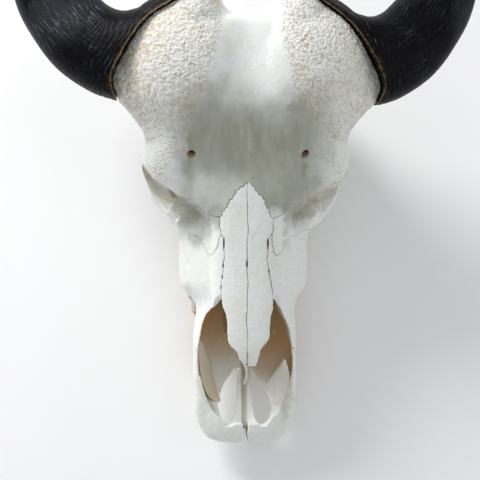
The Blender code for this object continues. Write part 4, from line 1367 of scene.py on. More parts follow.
def shelter_tree():
    """How much of the sky over each point other bone hides, within a short reach: 0 in the open, 1 inside."""
    tree, given, out = geometry_tree("bone_shelter", {"Reach": 0.11})
    place = tree.nodes.new("GeometryNodeInputPosition")
    normal = tree.nodes.new("GeometryNodeInputNormal")
    start = add_node(tree, "ShaderNodeVectorMath", {0: normal, "Scale": RAY_START}, operation="SCALE")
    start = add_node(tree, "ShaderNodeVectorMath", {0: place, 1: start})
    hidden = seen = 0.0
    for i in range(SHELTER_RAYS):
        up = 1 - 2 * (i + 0.5) / SHELTER_RAYS
        turn = i * math.pi * (3 - math.sqrt(5))
        way = (math.cos(turn) * math.sqrt(1 - up * up), math.sin(turn) * math.sqrt(1 - up * up), up)
        facing = add_node(tree, "ShaderNodeVectorMath", {0: normal, 1: way}, operation="DOT_PRODUCT")
        facing = add_node(tree, "ShaderNodeMath", {0: facing.outputs["Value"], 1: 0.0}, operation="MAXIMUM")
        cast = {"Target Geometry": given["Geometry"], "Source Position": start, "Ray Direction": way}
        ray = add_node(tree, "GeometryNodeRaycast", {**cast, "Ray Length": given["Reach"]})
        blocked = {0: ray.outputs["Is Hit"], 1: facing}
        blocked = add_node(tree, "ShaderNodeMath", blocked, operation="MULTIPLY")
        hidden = add_node(tree, "ShaderNodeMath", {0: hidden, 1: blocked})
        seen = add_node(tree, "ShaderNodeMath", {0: seen, 1: facing})
    share = add_node(tree, "ShaderNodeMath", {0: hidden, 1: seen}, operation="DIVIDE")
    kept = {"Geometry": given["Geometry"], "Name": "shelter", "Value": share}
    return end_tree(tree, given, out, add_node(tree, "GeometryNodeStoreNamedAttribute", kept))


def seam_tree():
    """How near each point is to the wall of a cut, and a slight sinking of the surface towards it."""
    tree, given, out = geometry_tree("bone_seam", {"Width": 0.8, "Depth": 0.25})
    inner = add_node(tree, "GeometryNodeInputNamedAttribute", {"Name": "cut"})
    inner = add_node(tree, "FunctionNodeCompare", {0: inner, 1: 0.5}, operation="GREATER_THAN")
    walls = {"Geometry": given["Geometry"], "Selection": inner}
    walls = add_node(tree, "GeometryNodeSeparateGeometry", walls, domain="FACE")
    near = add_node(tree, "GeometryNodeProximity", {0: walls})
    gap = add_node(tree, "ShaderNodeMath", {0: near.outputs["Distance"], 1: 1 / MM}, operation="MULTIPLY")
    gap = add_node(tree, "ShaderNodeMath", {0: gap, 1: given["Width"]}, operation="DIVIDE")
    fall = add_node(tree, "ShaderNodeMath", {0: gap, 1: gap}, operation="MULTIPLY")
    fall = add_node(tree, "ShaderNodeMath", {0: fall, 1: -1.0}, operation="MULTIPLY")
    fall = add_node(tree, "ShaderNodeMath", {0: fall}, operation="EXPONENT")
    faint = add_node(tree, "GeometryNodeInputNamedAttribute", {"Name": "faint"})
    fresh = add_node(tree, "ShaderNodeMapRange", {0: faint, 1: 0.0, 2: 1.0, 3: 1.0, 4: 0.08})
    fall = add_node(tree, "ShaderNodeMath", {0: fall, 1: fresh}, operation="MULTIPLY")
    high = add_node(tree, "ShaderNodeMath", {0: fall, 1: given["Depth"]}, operation="MULTIPLY")
    high = add_node(tree, "ShaderNodeMath", {0: high, 1: -1.0}, operation="MULTIPLY")
    return end_pushed(tree, given, out, "seam", fall, high)


SCUFF_AND_SHEEN_PATCHES = [
    # centre and radii in plan, share: where the sheaths are scuffed to slate, which also paints their sheen
    (-214, 196, 66, 48, 1.0),
    (252, 190, 22, 52, 0.8),
]
WEAR_AND_SHEEN_ELSEWHERE = 0.4  # the share of scuffs and painted sheen everywhere else


def unit_rows(rows):
    """Each row as a vector of length 1."""
    return rows / np.linalg.norm(rows, axis=1)[:, None]


def write_horn_lie(sheath, side):
    """For each point of a sheath: its place round and along the horn, how near the rim, and its wear with the
    painted sheen.
    """
    points = read(sheath)
    path = horn_rows(side, 6)[:, :3].astype(np.float32)
    _, course = nearest_on(points, path)
    lengths = np.concatenate([[0], np.cumsum(np.linalg.norm(np.diff(path, axis=0), axis=1))])
    way = unit_rows(np.gradient(path, axis=0))
    middle = np.column_stack([np.interp(course, lengths, path[:, axis]) for axis in range(3)])
    along = unit_rows(np.column_stack([np.interp(course, lengths, way[:, axis]) for axis in range(3)]))
    level = unit_rows(np.cross(along, np.array([0, 0, 1.0])))
    raised = np.cross(level, along)
    offset = points - middle
    turn = np.arctan2((offset * raised).sum(axis=1), (offset * level).sum(axis=1))
    gap, _ = nearest_on(dropped_back(points), rim_line())
    away = smooth_step(gap, 30, 110)
    course = gap * (1 - away) + (course + 20) * away
    write(sheath, "lie", np.column_stack([HORN_RADIUS * np.cos(turn), HORN_RADIUS * np.sin(turn), course]))
    write(sheath, "rim", 1 - smooth_step(gap, 2.5, 13))
    # Scuffs and painted sheen, strongest in the two listed places, least near the rim
    wear_and_sheen = np.full(len(points), WEAR_AND_SHEEN_ELSEWHERE, np.float32)
    for cx, cy, rx, ry, share in SCUFF_AND_SHEEN_PATCHES:
        reach = ((points[:, 0] - cx) / rx) ** 2 + ((points[:, 1] - cy) / ry) ** 2
        wear_and_sheen = np.maximum(wear_and_sheen, share * np.exp(-reach))
    write(sheath, "wear_and_sheen", wear_and_sheen * (0.15 + 0.85 * smooth_step(gap, 14, 62)))


def growth_tree():
    """Growth ridges round the horn that fade towards its tip, and the lengthwise grain between them."""
    numbers = {"Ridge spacing": 5.5, "Ridge height": 0.4, "Reach": 150.0, "Grain": 0.5}
    tree, given, out = geometry_tree("horn_growth", numbers)
    lie = add_node(tree, "GeometryNodeInputNamedAttribute", {"Name": "lie"}, data_type="FLOAT_VECTOR")
    course = add_node(tree, "ShaderNodeSeparateXYZ", {0: lie}).outputs["Z"]
    stir = add_node(tree, "ShaderNodeTexNoise", {"Vector": lie, "Scale": 0.03, "Detail": 3.0})
    stirred = add_node(tree, "ShaderNodeMath", {0: stir, 1: 26.0, 2: course}, operation="MULTIPLY_ADD")
    turns = add_node(tree, "ShaderNodeMath", {0: stirred, 1: given["Ridge spacing"]}, operation="DIVIDE")
    turns = add_node(tree, "ShaderNodeMath", {0: turns, 1: 2 * math.pi}, operation="MULTIPLY")
    wave = add_node(tree, "ShaderNodeMath", {0: turns}, operation="SINE")
    broken = add_node(tree, "ShaderNodeTexNoise", {"Vector": lie, "Scale": 0.07, "Detail": 3.0})
    broken = add_node(tree, "ShaderNodeMapRange", {0: broken, 1: 0.35, 2: 0.62, 3: 0.2, 4: 1.0})
    fade = add_node(tree, "ShaderNodeMapRange", {0: course, 1: 0.0, 2: given["Reach"], 3: 1.0, 4: 0.12})
    for share in (broken, fade):
        wave = add_node(tree, "ShaderNodeMath", {0: wave, 1: share}, operation="MULTIPLY")
    stretched = add_node(tree, "ShaderNodeVectorMath", {0: lie, 1: (1.0, 1.0, 0.09)}, operation="MULTIPLY")
    grain = add_node(tree, "ShaderNodeTexNoise", {"Vector": stretched, "Scale": 0.3, "Detail": 3.0})
    grain = add_node(tree, "ShaderNodeMath", {0: grain, 1: 0.5}, operation="SUBTRACT")
    high = add_node(tree, "ShaderNodeMath", {0: wave, 1: given["Ridge height"]}, operation="MULTIPLY")
    high = add_node(tree, "ShaderNodeMath", {0: grain, 1: given["Grain"], 2: high}, operation="MULTIPLY_ADD")
    return end_pushed(tree, given, out, "relief", wave, high)


TEETH = [
    # length along the row, width, number of columns
    (17, 14, 1),
    (19, 17, 1),
    (19, 19, 1),
    (25, 22, 2),
    (29, 24, 2),
    (31, 23, 2),
]
TOOTH_GAP = 0.5  # between neighbours
BASIN_DEPTH = 1.8  # of the pits in the worn face
WORN_BAND = 0.6  # up to this height over the floor a tooth shows its dentine


def tooth_outline(length, width, columns, count=64):
    """A cheek tooth from below, along and across the row: sharp ribs outside, round lobes inside."""
    along, across = oval(3.4, count)
    outer = np.maximum(across, 0)
    inner = np.maximum(-across, 0)
    lobes = np.abs(np.cos(np.pi * along * columns / 2)) if columns == 2 else 1 - 0.35 * along**2
    ribs = 0.10 * np.exp(-(((np.abs(along) - 0.82) / 0.1) ** 2)) + 0.08 * np.exp(-((along / 0.09) ** 2))
    v = outer * (0.84 + ribs) - inner * (0.72 + 0.28 * lobes)
    return np.column_stack([along * length / 2, v * width / 2])


# Level and width of a tooth from below its worn face, where the floor cuts it, up to its root
TOOTH_LEVELS = (
    (-TOOTH_HEIGHT - 6, 1.0), (-TOOTH_HEIGHT, 1.0), (-12, 0.99),
    (-4, 0.96), (0, 0.9), (TOOTH_ROOT, 0.8),
)


def tooth(base, up, row, outward, length, width, columns):
    """One tooth as a closed body from its root to below the floor, where it is then worn flat."""
    outline = tooth_outline(length - TOOTH_GAP, width, columns)
    rings = []
    for level, scale in TOOTH_LEVELS:
        middle = np.array(base + up * level + outward * (-0.08 * level - 1.0))
        rings.append(middle + np.outer(outline[:, 0] * scale, row) + np.outer(outline[:, 1] * scale, outward))
    return object_from_rings("tooth", rings)


def basin(base, up, row, outward, place, reach, width):
    """A crescent pit in the worn face of a tooth, its horns turned to the cheek."""
    angles = np.linspace(math.radians(200), math.radians(340), 14)
    outline = []
    for turn, share, depth in ((angles, 1, 0.62), (angles[::-1], 0.82, 0.36)):
        outline += [(place + share * reach * math.cos(a), width * (0.5 + depth * math.sin(a))) for a in turn]
    rings = []
    for level in (-TOOTH_HEIGHT - 4, -TOOTH_HEIGHT + BASIN_DEPTH):
        middle = np.array(base + up * level + outward * 0.8)
        rings.append([middle + np.array(row) * u + np.array(outward) * v for u, v in outline])
    return object_from_rings("basin", rings, flat=True)


def tooth_row(side):
    """The six cheek teeth of one side in one mesh, worn flat at the floor."""
    row = Vector((0, math.cos(PALATE_SLOPE), -math.sin(PALATE_SLOPE)))
    up = Vector((0, math.sin(PALATE_SLOPE), math.cos(PALATE_SLOPE)))
    outward = Vector((side, 0, 0))
    first = Vector((0, TOOTH_ROW_START, palate_z(TOOTH_ROW_START)))
    floor = floor_cutter()
    bm = bmesh.new()
    travelled = 0.0
    for length, width, columns in TEETH:
        along = travelled + length / 2
        base = first + row * along
        bow = math.sin(math.pi * along / TOOTH_ROW_BOW_LENGTH)
        base.x = side * (TOOTH_ROW_ASIDE + TOOTH_ROW_BOW * bow)
        made = tooth(base, up, row, outward, length, width, columns)
        boolean(made, floor, "DIFFERENCE")
        for column in range(columns):
            place = (column - (columns - 1) / 2) * length / columns
            reach = length / columns * 0.32
            cut(made, basin(base, up, row, outward, place, reach, width * 0.5))
        bm.from_mesh(made.data)
        remove(made)
        travelled += length
    remove(floor)
    row_of_teeth = object_from_bmesh("teeth", bm)
    points = read(row_of_teeth)
    height = points[:, 2] - floor_z(points[:, 1])
    write(row_of_teeth, "worn", (height < WORN_BAND).astype(float))
    # Browner towards the root: stain, and painted shade under the maxilla
    write(row_of_teeth, "shelter", smooth_step(height, 6, 24))
    return row_of_teeth


def linear(code):
    """A colour given as an sRGB hex value, in linear numbers with full opacity."""
    values = [int(code[i : i + 2], 16) / 255 for i in (1, 3, 5)]
    return (*(v / 12.92 if v <= 0.04045 else ((v + 0.055) / 1.055) ** 2.4 for v in values), 1)


def new_material(name, roughness, shine=0.5):
    """A plain Principled material, its tree, and a node with the place on the object in millimetres."""
    surface = bpy.data.materials.new(name)
    surface.use_nodes = True
    tree = surface.node_tree
    shader = tree.nodes["Principled BSDF"]
    shader.inputs["Roughness"].default_value = roughness
    shader.inputs["Specular IOR Level"].default_value = shine
    here = tree.nodes.new("ShaderNodeTexCoord").outputs["Object"]
    place = add_node(tree, "ShaderNodeVectorMath", {0: here, "Scale": 1 / MM}, operation="SCALE")
    return surface, tree, place


def layered(tree, place, ground, layers):
    """Colours laid over each other. A layer is its attribute, the values where it starts and where it is
    full, the size of its patches in mm, how much of it they leave, its strength and its colour."""
    colour = ground
    for attribute, start, full, patch, kept, strength, tone in layers:
        low, high = 0.62 - 0.3 * kept, 0.7 - 0.25 * kept
        spots = {"Vector": place, "Scale": 1 / patch, "Detail": 4.0, "Roughness": 0.6}
        spots = add_node(tree, "ShaderNodeTexNoise", spots)
        spots = add_node(tree, "ShaderNodeMapRange", {0: spots, 1: low, 2: high, 3: 0.0, 4: strength})
        if attribute:
            mask = add_node(tree, "ShaderNodeAttribute", attribute_name=attribute).outputs["Fac"]
            mask = add_node(tree, "ShaderNodeMapRange", {0: mask, 1: start, 2: full, 3: 0.0, 4: 1.0})
            spots = add_node(tree, "ShaderNodeMath", {0: spots, 1: mask}, operation="MULTIPLY")
        mixed = {"Factor": spots, "A": colour, "B": linear(tone)}
        colour = add_node(tree, "ShaderNodeMix", mixed, data_type="RGBA")
    return colour


def joined(surface, colour, bump, roughness=None):
    """Links the finished colour, bump and roughness to the shader."""
    tree = surface.node_tree
    shader = tree.nodes["Principled BSDF"]
    for socket, node in (("Base Color", colour), ("Normal", bump), ("Roughness", roughness)):
        if node:
            tree.links.new(next(s for s in node.outputs if s.enabled), shader.inputs[socket])
    return surface


def weathered_bone(name, look):
    """Cortical bone left outdoors: chalk white on top, tan in its pits, grey-green dust and painted shade on
    the forehead, dried tissue in the nose, and painted shade under the brow, in its holes and where other
    bone hides the sky.
    """
    surface, tree, place = new_material(name, 0.72, 0.3)
    layers = [
        # attribute, start, full, patch, kept, strength, colour
        ("", 0, 1, 34, 0.5, 0.3, look.ivory),
        ("", 0, 1, 6, 0.3, 0.2, look.ivory),
        ("rough", 0.15, 0.9, 16, 0.8, 0.18, look.ivory),
        ("relief", 0.1, -0.5, 9, 1.0, 0.3, look.valley),
        ("ochre", 0.1, 0.9, 6, 0.5, 0.5, look.ochre),
        # Dust and painted shade on the forehead, the lacrimals and the snout
        ("dust_and_shade", 0.0, 1.0, 50, 1.3, 0.45, look.dust_and_shade),
        ("dust_and_shade", 0.0, 1.0, 12, 1.5, 0.6, look.dust_and_shade),
        # Dried tissue stain in the nose, and painted shade under the brow and in the supraorbital holes
        ("umber", 0.0, 0.5, 30, 1.6, 0.55, look.damp_and_shade),
        ("umber", 0.4, 1.0, 16, 1.4, 0.85, look.umber),
        # Painted shade where other bone hides the sky, darkest in the deepest hollows
        ("shelter", 0.5, 0.85, 14, 1.6, 0.75, look.damp_and_shade),
        ("shelter", 0.78, 1.0, 9, 1.6, 0.85, look.deep),
        ("seam", 0.5, 1.0, 14, 0.6, 0.75, look.seam),
    ]
    colour = layered(tree, place, linear(look.chalk), layers)
    valley = linear(look.valley)
    stir = add_node(tree, "ShaderNodeTexNoise", {"Vector": place, "Scale": 1 / 18, "Detail": 3.0})
    stir = stir.outputs["Color"]
    stirred = add_node(tree, "ShaderNodeVectorMath", {0: stir, "Scale": 14.0}, operation="SCALE")
    stirred = add_node(tree, "ShaderNodeVectorMath", {0: place, 1: stirred})
    cells = {"Vector": stirred, "Scale": 1 / 21}
    cells = add_node(tree, "ShaderNodeTexVoronoi", cells, feature="DISTANCE_TO_EDGE")
    crack = add_node(tree, "ShaderNodeMapRange", {0: cells, 1: 0.004, 2: 0.016, 3: 0.22, 4: 0.0})
    open_places = add_node(tree, "ShaderNodeTexNoise", {"Vector": place, "Scale": 1 / 26, "Detail": 2.0})
    open_places = add_node(tree, "ShaderNodeMapRange", {0: open_places, 1: 0.5, 2: 0.62, 3: 0.0, 4: 1.0})
    crack = add_node(tree, "ShaderNodeMath", {0: crack, 1: open_places}, operation="MULTIPLY")
    colour = add_node(tree, "ShaderNodeMix", {"Factor": crack, "A": colour, "B": valley}, data_type="RGBA")
    rough = add_node(tree, "ShaderNodeAttribute", attribute_name="rough")
    combed = add_node(tree, "ShaderNodeAttribute", attribute_name="combed")
    lie = add_node(tree, "ShaderNodeAttribute", attribute_name="lie")
    beads = bead_cells(tree, place, 2.6, 0.3, 3.0)
    comb = bead_cells(tree, lie.outputs["Vector"], 1.7, 0.3, 3.0)
    beads = add_node(tree, "ShaderNodeMix", {"Factor": combed.outputs["Fac"], "A": beads, "B": comb})
    beads = add_node(tree, "ShaderNodeMapRange", {0: beads, 1: 0.42, 2: 0.8, 3: 0.0, 4: 1.0})
    beads = add_node(tree, "ShaderNodeMath", {0: beads, 1: rough.outputs["Fac"]}, operation="MULTIPLY")
    sparse = add_node(tree, "ShaderNodeTexNoise", {"Vector": place, "Scale": 1 / 13, "Detail": 3.0})
    sparse = add_node(tree, "ShaderNodeMapRange", {0: sparse, 1: 0.36, 2: 0.66, 3: 0.12, 4: 0.8})
    between = add_node(tree, "ShaderNodeMath", {0: beads, 1: sparse}, operation="MULTIPLY")
    colour = add_node(tree, "ShaderNodeMix", {"Factor": between, "A": colour, "B": valley}, data_type="RGBA")
    pores = add_node(tree, "ShaderNodeTexNoise", {"Vector": place, "Scale": 1 / 1.6, "Detail": 3.0})
    pits = add_node(tree, "ShaderNodeMapRange", {0: pores, 1: 0.36, 2: 0.27, 3: 0.0, 4: 0.2})
    colour = add_node(tree, "ShaderNodeMix", {"Factor": pits, "A": colour, "B": valley}, data_type="RGBA")
    height = add_node(tree, "ShaderNodeMath", {0: crack, 1: -1.2, 2: pores}, operation="MULTIPLY_ADD")
    height = add_node(tree, "ShaderNodeMath", {0: beads, 1: -2.2, 2: height}, operation="MULTIPLY_ADD")
    bump = add_node(tree, "ShaderNodeBump", {"Strength": 0.45, "Distance": 0.5 * MM, "Height": height})
    return joined(surface, colour, bump)


def keratin(name, look):
    """Horn sheath: grown in layers, near black, scuffed blue-grey with a painted sheen, painted highlights on
    its ridges, and a brown frayed rim.
    """
    surface, tree, place = new_material(name, 0.42, 0.07)
    lie = add_node(tree, "ShaderNodeAttribute", attribute_name="lie").outputs["Vector"]
    along = add_node(tree, "ShaderNodeVectorMath", {0: lie, 1: (1.0, 1.0, 0.07)}, operation="MULTIPLY")
    streaks = {"Vector": along, "Scale": 0.6, "Detail": 6.0, "Roughness": 0.78}
    streaks = add_node(tree, "ShaderNodeTexNoise", streaks)
    # Light scuff streaks, which also paint the sheen of the horn
    streak = add_node(tree, "ShaderNodeMapRange", {0: streaks, 1: 0.53, 2: 0.68, 3: 0.0, 4: 0.95})
    worn = add_node(tree, "ShaderNodeTexNoise", {"Vector": place, "Scale": 1 / 42, "Detail": 4.0})
    worn = add_node(tree, "ShaderNodeMapRange", {0: worn, 1: 0.45, 2: 0.66, 3: 0.12, 4: 1.0})
    streak = add_node(tree, "ShaderNodeMath", {0: streak, 1: worn}, operation="MULTIPLY")
    wear_and_sheen = add_node(tree, "ShaderNodeAttribute", attribute_name="wear_and_sheen")
    streak = add_node(tree, "ShaderNodeMath", {0: streak, 1: wear_and_sheen.outputs["Fac"]}, operation="MULTIPLY")
    streak = add_node(tree, "ShaderNodeMath", {0: streak, 1: 1.5}, operation="MULTIPLY", use_clamp=True)
    # Slate patches, then scuffs and painted sheen where the horn is worn
    scuff_and_sheen_layers = [
        ("", 0, 1, 26, 0.8, 0.7, look.slate),
        ("wear_and_sheen", 0.4, 1.0, 40, 0.7, 0.16, look.scuff_and_sheen),
    ]
    colour = layered(tree, place, linear(look.black), scuff_and_sheen_layers)
    scuff_and_sheen_mix = {"Factor": streak, "A": colour, "B": linear(look.scuff_and_sheen)}
    colour = add_node(tree, "ShaderNodeMix", scuff_and_sheen_mix, data_type="RGBA")
    layers = [
        # Painted highlight on the crests of the growth ridges
        ("relief", 0.4, 1.0, 5, 0.6, 0.4, look.scuff_and_sheen),
        ("rim", 0.1, 1.0, 7, 0.5, 0.6, look.rim),
        ("rim", 0.85, 1.0, 4, 0.9, 0.9, look.lip),
    ]
    colour = layered(tree, place, colour, layers)
    height = add_node(tree, "ShaderNodeMath", {0: streaks, 1: 0.7})
    bump = add_node(tree, "ShaderNodeBump", {"Strength": 0.4, "Distance": 0.5 * MM, "Height": height})
    gloss = add_node(tree, "ShaderNodeMapRange", {0: streaks, 1: 0.35, 2: 0.7, 3: 0.36, 4: 0.56})
    return joined(surface, colour, bump, gloss)


def tooth_enamel(name, look):
    """Enamel and cement of a grazer's cheek teeth: cream ribs, brown in the grooves, browner towards the root
    with stain and painted shade, with a soft shine.
    """
    surface, tree, place = new_material(name, 0.38)
    layers = [
        ("", 0, 1, 7, 0.7, 0.5, look.cement),
        # Stain and painted shade towards the root
        ("shelter", 0.35, 0.9, 6, 1.1, 0.55, look.stain),
        ("", 0, 1, 3, 0.1, 0.35, look.stain),
        ("worn", 0.2, 0.9, 9, 1.8, 1.0, look.dentine),
    ]
    colour = layered(tree, place, linear(look.enamel), layers)
    upright = add_node(tree, "ShaderNodeVectorMath", {0: place, 1: (1.0, 1.0, 0.12)}, operation="MULTIPLY")
    ribs = add_node(tree, "ShaderNodeTexNoise", {"Vector": upright, "Scale": 0.7, "Detail": 3.0})
    bump = add_node(tree, "ShaderNodeBump", {"Strength": 0.35, "Distance": 0.4 * MM, "Height": ribs})
    return joined(surface, colour, bump)


def plaster_floor(name, look):
    """Smooth matt board, slightly uneven in tone, so that it reads as a studio table and not as a void."""
    surface, tree, place = new_material(name, 0.85)
    colour = layered(tree, place, (*look.floor, 1), [("", 0, 1, 160, 0.6, 0.1, look.floor_shade)])
    fine = add_node(tree, "ShaderNodeTexNoise", {"Vector": place, "Scale": 0.5, "Detail": 3.0})
    bump = add_node(tree, "ShaderNodeBump", {"Strength": 0.05, "Distance": 0.2 * MM, "Height": fine})
    return joined(surface, colour, bump)


# What the panel changes
def tone(name, code, description):
    """A colour property whose default is given as an sRGB hex value."""
    return StringProperty(name=name, description=description, default=code, maxlen=7)


def length(name, description, default, least, most):
    """A length property whose numbers are given in millimetres."""
    return FloatProperty(
        name=name,
        description=description,
        default=default * MM,
        min=least * MM,
        max=most * MM,
        unit="LENGTH",
    )


class BoneLook(PropertyGroup):
    chalk: tone("Chalk", "#F1F5F4", "Colour of the cleanest bone")
    ivory: tone("Ivory", "#EDEADB", "Colour of the patches that kept some fat")
    valley: tone("Valley", "#B9AA84", "Colour of pits, pores and cracks")
    ochre: tone("Ochre", "#C9A45C", "Colour of the stains beside the horns")
    # Dust also stands for painted shade on the forehead, the lacrimals and the snout
    dust_and_shade: tone("Dust", "#81846B", "Colour of the grey-green growth on the forehead")
    # Painted shade of the sheltered places and of the band under the brow, and the edge of the tissue stain
    damp_and_shade: tone("Damp", "#BCA67C", "Colour of sheltered places")
    # Umber is also the painted shade under the brow and in the supraorbital holes
    umber: tone("Umber", "#CB9A5E", "Colour of the dried tissue inside the nose")
    # Painted shade in the deepest hollows and on the horn cores
    deep: tone("Deep", "#6B4930", "Colour inside the hollows")
    seam: tone("Seam", "#8C6C44", "Colour of the gaps between the bones")
    bead_height: length("Bead height", "How far the rough bone beside the horns stands out", 0.75, 0, 4)
    bead_size: length("Bead size", "Spacing of the beads of rough bone", 2.9, 1, 12)


class HornLook(PropertyGroup):
    black: tone("Black", "#050506", "Colour of the polished horn")
    slate: tone("Slate", "#0C0D12", "Colour of the duller horn")
    # Scuff colour also paints the sheen of the horn and the highlights on its ridges
    scuff_and_sheen: tone("Scuff", "#73777F", "Colour of the scuffed ridges")
    rim: tone("Rim", "#4A3526", "Colour of the horn near its rim")
    lip: tone("Lip", "#75603F", "Colour of the frayed edge")
    ridge_spacing: length("Ridge spacing", "Distance between the growth ridges near the rim", 5.5, 2, 20)
    ridge_height: length("Ridge height", "Height of the growth ridges near the rim", 0.4, 0, 4)
    gap: length("Gap at the rim", "Width of the dark gap between the bare bone and the horn", 1.8, 0.5, 8)


class ToothLook(PropertyGroup):
    enamel: tone("Enamel", "#DCD5C6", "Colour of the enamel ribs")
    cement: tone("Cement", "#B3A48B", "Colour of the cement on the sides")
    dentine: tone("Dentine", "#B7925C", "Colour of the worn face inside the enamel")
    # Stain is also the painted shade towards the root
    stain: tone("Stain", "#5A3E26", "Colour of the grooves")


class StageLook(PropertyGroup):
    floor: FloatVectorProperty(
        name="Floor",
        description="Colour of the floor",
        default=(0.98, 0.98, 0.98),
        min=0.0,
        max=1.0,
        subtype="COLOR",
    )
    floor_shade: tone("Floor shade", "#F2F2F0", "Colour of the faint clouds in the floor")
    key_power: FloatProperty(
        name="Key light",
        description="Power of the large lamp at the upper left",
        default=48.0,
        min=0.0,
        unit="POWER",
    )
    fill: FloatProperty(
        name="Fill",
        description="Strength of the even light from all round",
        default=0.56,
        min=0.0,
    )
    distance: FloatProperty(
        name="Camera distance",
        description="Distance of the camera from the face",
        default=1.9,
        min=0.5,
        unit="LENGTH",
        subtype="DISTANCE",
    )


# Finishing
def need(name):
    """The work object of an earlier operator."""
    obj = bpy.data.objects.get(name)
    if obj is None:
        raise RuntimeError(f"{name} isn't there yet: run the operators in the order of the panel")
    return obj


def finished(obj, name, nodes):
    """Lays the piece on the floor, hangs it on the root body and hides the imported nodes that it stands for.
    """
    keep_largest(obj)
    thinned(obj, MOST_TRIANGLES)
    obj.data.transform(TO_FLOOR)
    obj.name = name
    obj.data.name = name
    obj.data.shade_smooth()
    obj.data.set_sharp_from_angle(angle=math.radians(BONE_SHARP))
    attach(obj, "root")
    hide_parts(*nodes)


def finished_bone(obj, name, nodes, dust_and_shade_share=1.0):
    """A parted bone with its seams worn, in weathered bone."""
    write_stains(obj, dust_and_shade_share)
    run_tree(obj, tree_named("bone_seam", seam_tree), Material=bone_material())
    finished(obj, name, nodes)


def part_pair(cutter, name, node, dust_and_shade_share=1.0):
    """Parts one bone of each side from the skull and finishes it."""
    for side, suffix in SIDES:
        bone = parted(need("skull_blank"), cutter("cutter", side), "bone")
        finished_bone(bone, name + suffix, [node + suffix], dust_and_shade_share)
    return {"FINISHED"}


def tree_named(name, make):
    """The geometry tree of that name, made on its first use."""
    return bpy.data.node_groups.get(name) or make()


def material_named(name, make, look):
    """The material of that name, made on its first use."""
    return bpy.data.materials.get(name) or make(name, look)


def bone_material():
    return material_named("weathered_bone", weathered_bone, bpy.context.scene.skull_bone)


class SKULL_OT_body(Operator):
    """Make the whole skull before it is parted: its skin, its openings and the relief of its surface"""

    bl_idname = "skull.body"
    bl_label = "Skull body"

    def execute(self, context):
        forms = face_forms() + vault_forms() + occiput_forms() + cheek_forms()
        skull = merged("skull_blank", forms, FORM_VOXEL, round(FORM_SPREAD / FORM_VOXEL**2))
        shaped(skull, SURFACE_FEATURES)
        thinned(copy_of(skull, "skull_skin"), SKIN_TRIANGLES)
        cut(skull, *nose_opening(), nose_cavity(), roof_hollow(), *openings(), *premaxilla_channel())
        skull = merged("skull_blank", [skull], SKIN_VOXEL, SKIN_SMOOTHING)
        skull.name = "skull_blank"
        ridged(skull, RIDGES)
        write_masks(skull)
        look = context.scene.skull_bone
        relief = relief_tree()
        run_tree(skull, relief, **{"Bead height": look.bead_height / MM, "Bead size": look.bead_size / MM})
        run_tree(skull, shelter_tree())
        mark_faces(skull, 0)
        cut(skull, *slits())
        cut(skull, floor_cutter())
        return {"FINISHED"}


class SKULL_OT_horns(Operator):
    """Make the two horn sheaths, whose rims stand proud of the bone"""

    bl_idname = "skull.horns"
    bl_label = "Horn sheaths"

    def execute(self, context):
        look = context.scene.skull_horn
        skin = need("skull_skin")
        for side, suffix in SIDES:
            base = grown(copy_of(skin, "sheath_base"), SHEATH_LIP)
            region = grown(sheath_side("region", side), SHEATH_MARGIN)
            boolean(base, region, "INTERSECT")
            remove(region)
            under = dropped([(side * x, y) for x, y in SHEATH_UNDERSIDE])
            cut(base, prism("under", under, BOTTOM, TOP, "Z"))
            sheath = merged("sheath", [horn_loft(side), base], SHEATH_VOXEL, SHEATH_SMOOTHING)
            write_horn_lie(sheath, side)
            run_tree(
                sheath,
                tree_named("horn_growth", growth_tree),
                **{"Ridge spacing": look.ridge_spacing / MM, "Ridge height": look.ridge_height / MM},
                Material=material_named("horn_keratin", keratin, look),
            )
            cut(sheath, grown(bone_side("rim", side, RIM_WANDER, RIM_SEED + side), look.gap / MM))
            cut(sheath, grown(copy_of(skin, "core"), CORE_PLAY - CORE_INSET))
            finished(sheath, "horn_sheath" + suffix, ["horn" + suffix])
        return {"FINISHED"}


class SKULL_OT_nasals(Operator):
    """Part the two nasal bones from the skull"""

    bl_idname = "skull.nasals"
    bl_label = "Nasal bones"

    def execute(self, context):
        return part_pair(nasal_cutter, "nasal_bone", "nasal", dust_and_shade_share=0.06)


class SKULL_OT_lacrimals(Operator):
    """Part the two lacrimal bones, in front of the orbits, from the skull"""

    bl_idname = "skull.lacrimals"
    bl_label = "Lacrimal bones"

    def execute(self, context):
        return part_pair(lacrimal_cutter, "lacrimal_bone", "lacrimal")


class SKULL_OT_cheekbones(Operator):
    """Part the two cheekbones, under the orbits, from the skull"""

    bl_idname = "skull.cheekbones"
    bl_label = "Cheekbones"

    def execute(self, context):
        return part_pair(cheekbone_cutter, "cheekbone", "zygomatic")


class SKULL_OT_premaxillae(Operator):
    """Part the two premaxillae, at the front of the snout, from the skull"""

    bl_idname = "skull.premaxillae"
    bl_label = "Premaxillae"

    def execute(self, context):
        return part_pair(premaxilla_cutter, "premaxilla_bone", "premaxilla")


class SKULL_OT_maxillae(Operator):
    """Part the two maxillae, which carry the cheek teeth, from the skull"""

    bl_idname = "skull.maxillae"
    bl_label = "Maxillae"

    def execute(self, context):
        return part_pair(maxilla_cutter, "maxilla_bone", "maxilla")


class SKULL_OT_teeth(Operator):
    """Make the six cheek teeth of each side, worn flat where they rest"""

    bl_idname = "skull.teeth"
    bl_label = "Cheek teeth"

    def execute(self, context):
        enamel = material_named("tooth_enamel", tooth_enamel, context.scene.skull_teeth)
        for side, suffix in SIDES:
            teeth = tooth_row(side)
            teeth.data.materials.append(enamel)
            teeth.data.transform(TO_FLOOR)
            teeth.name = "cheek_teeth" + suffix
            teeth.data.shade_smooth()
            teeth.data.set_sharp_from_angle(angle=math.radians(TOOTH_SHARP))
            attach(teeth, "root")
            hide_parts("maxilla" + suffix)
        return {"FINISHED"}


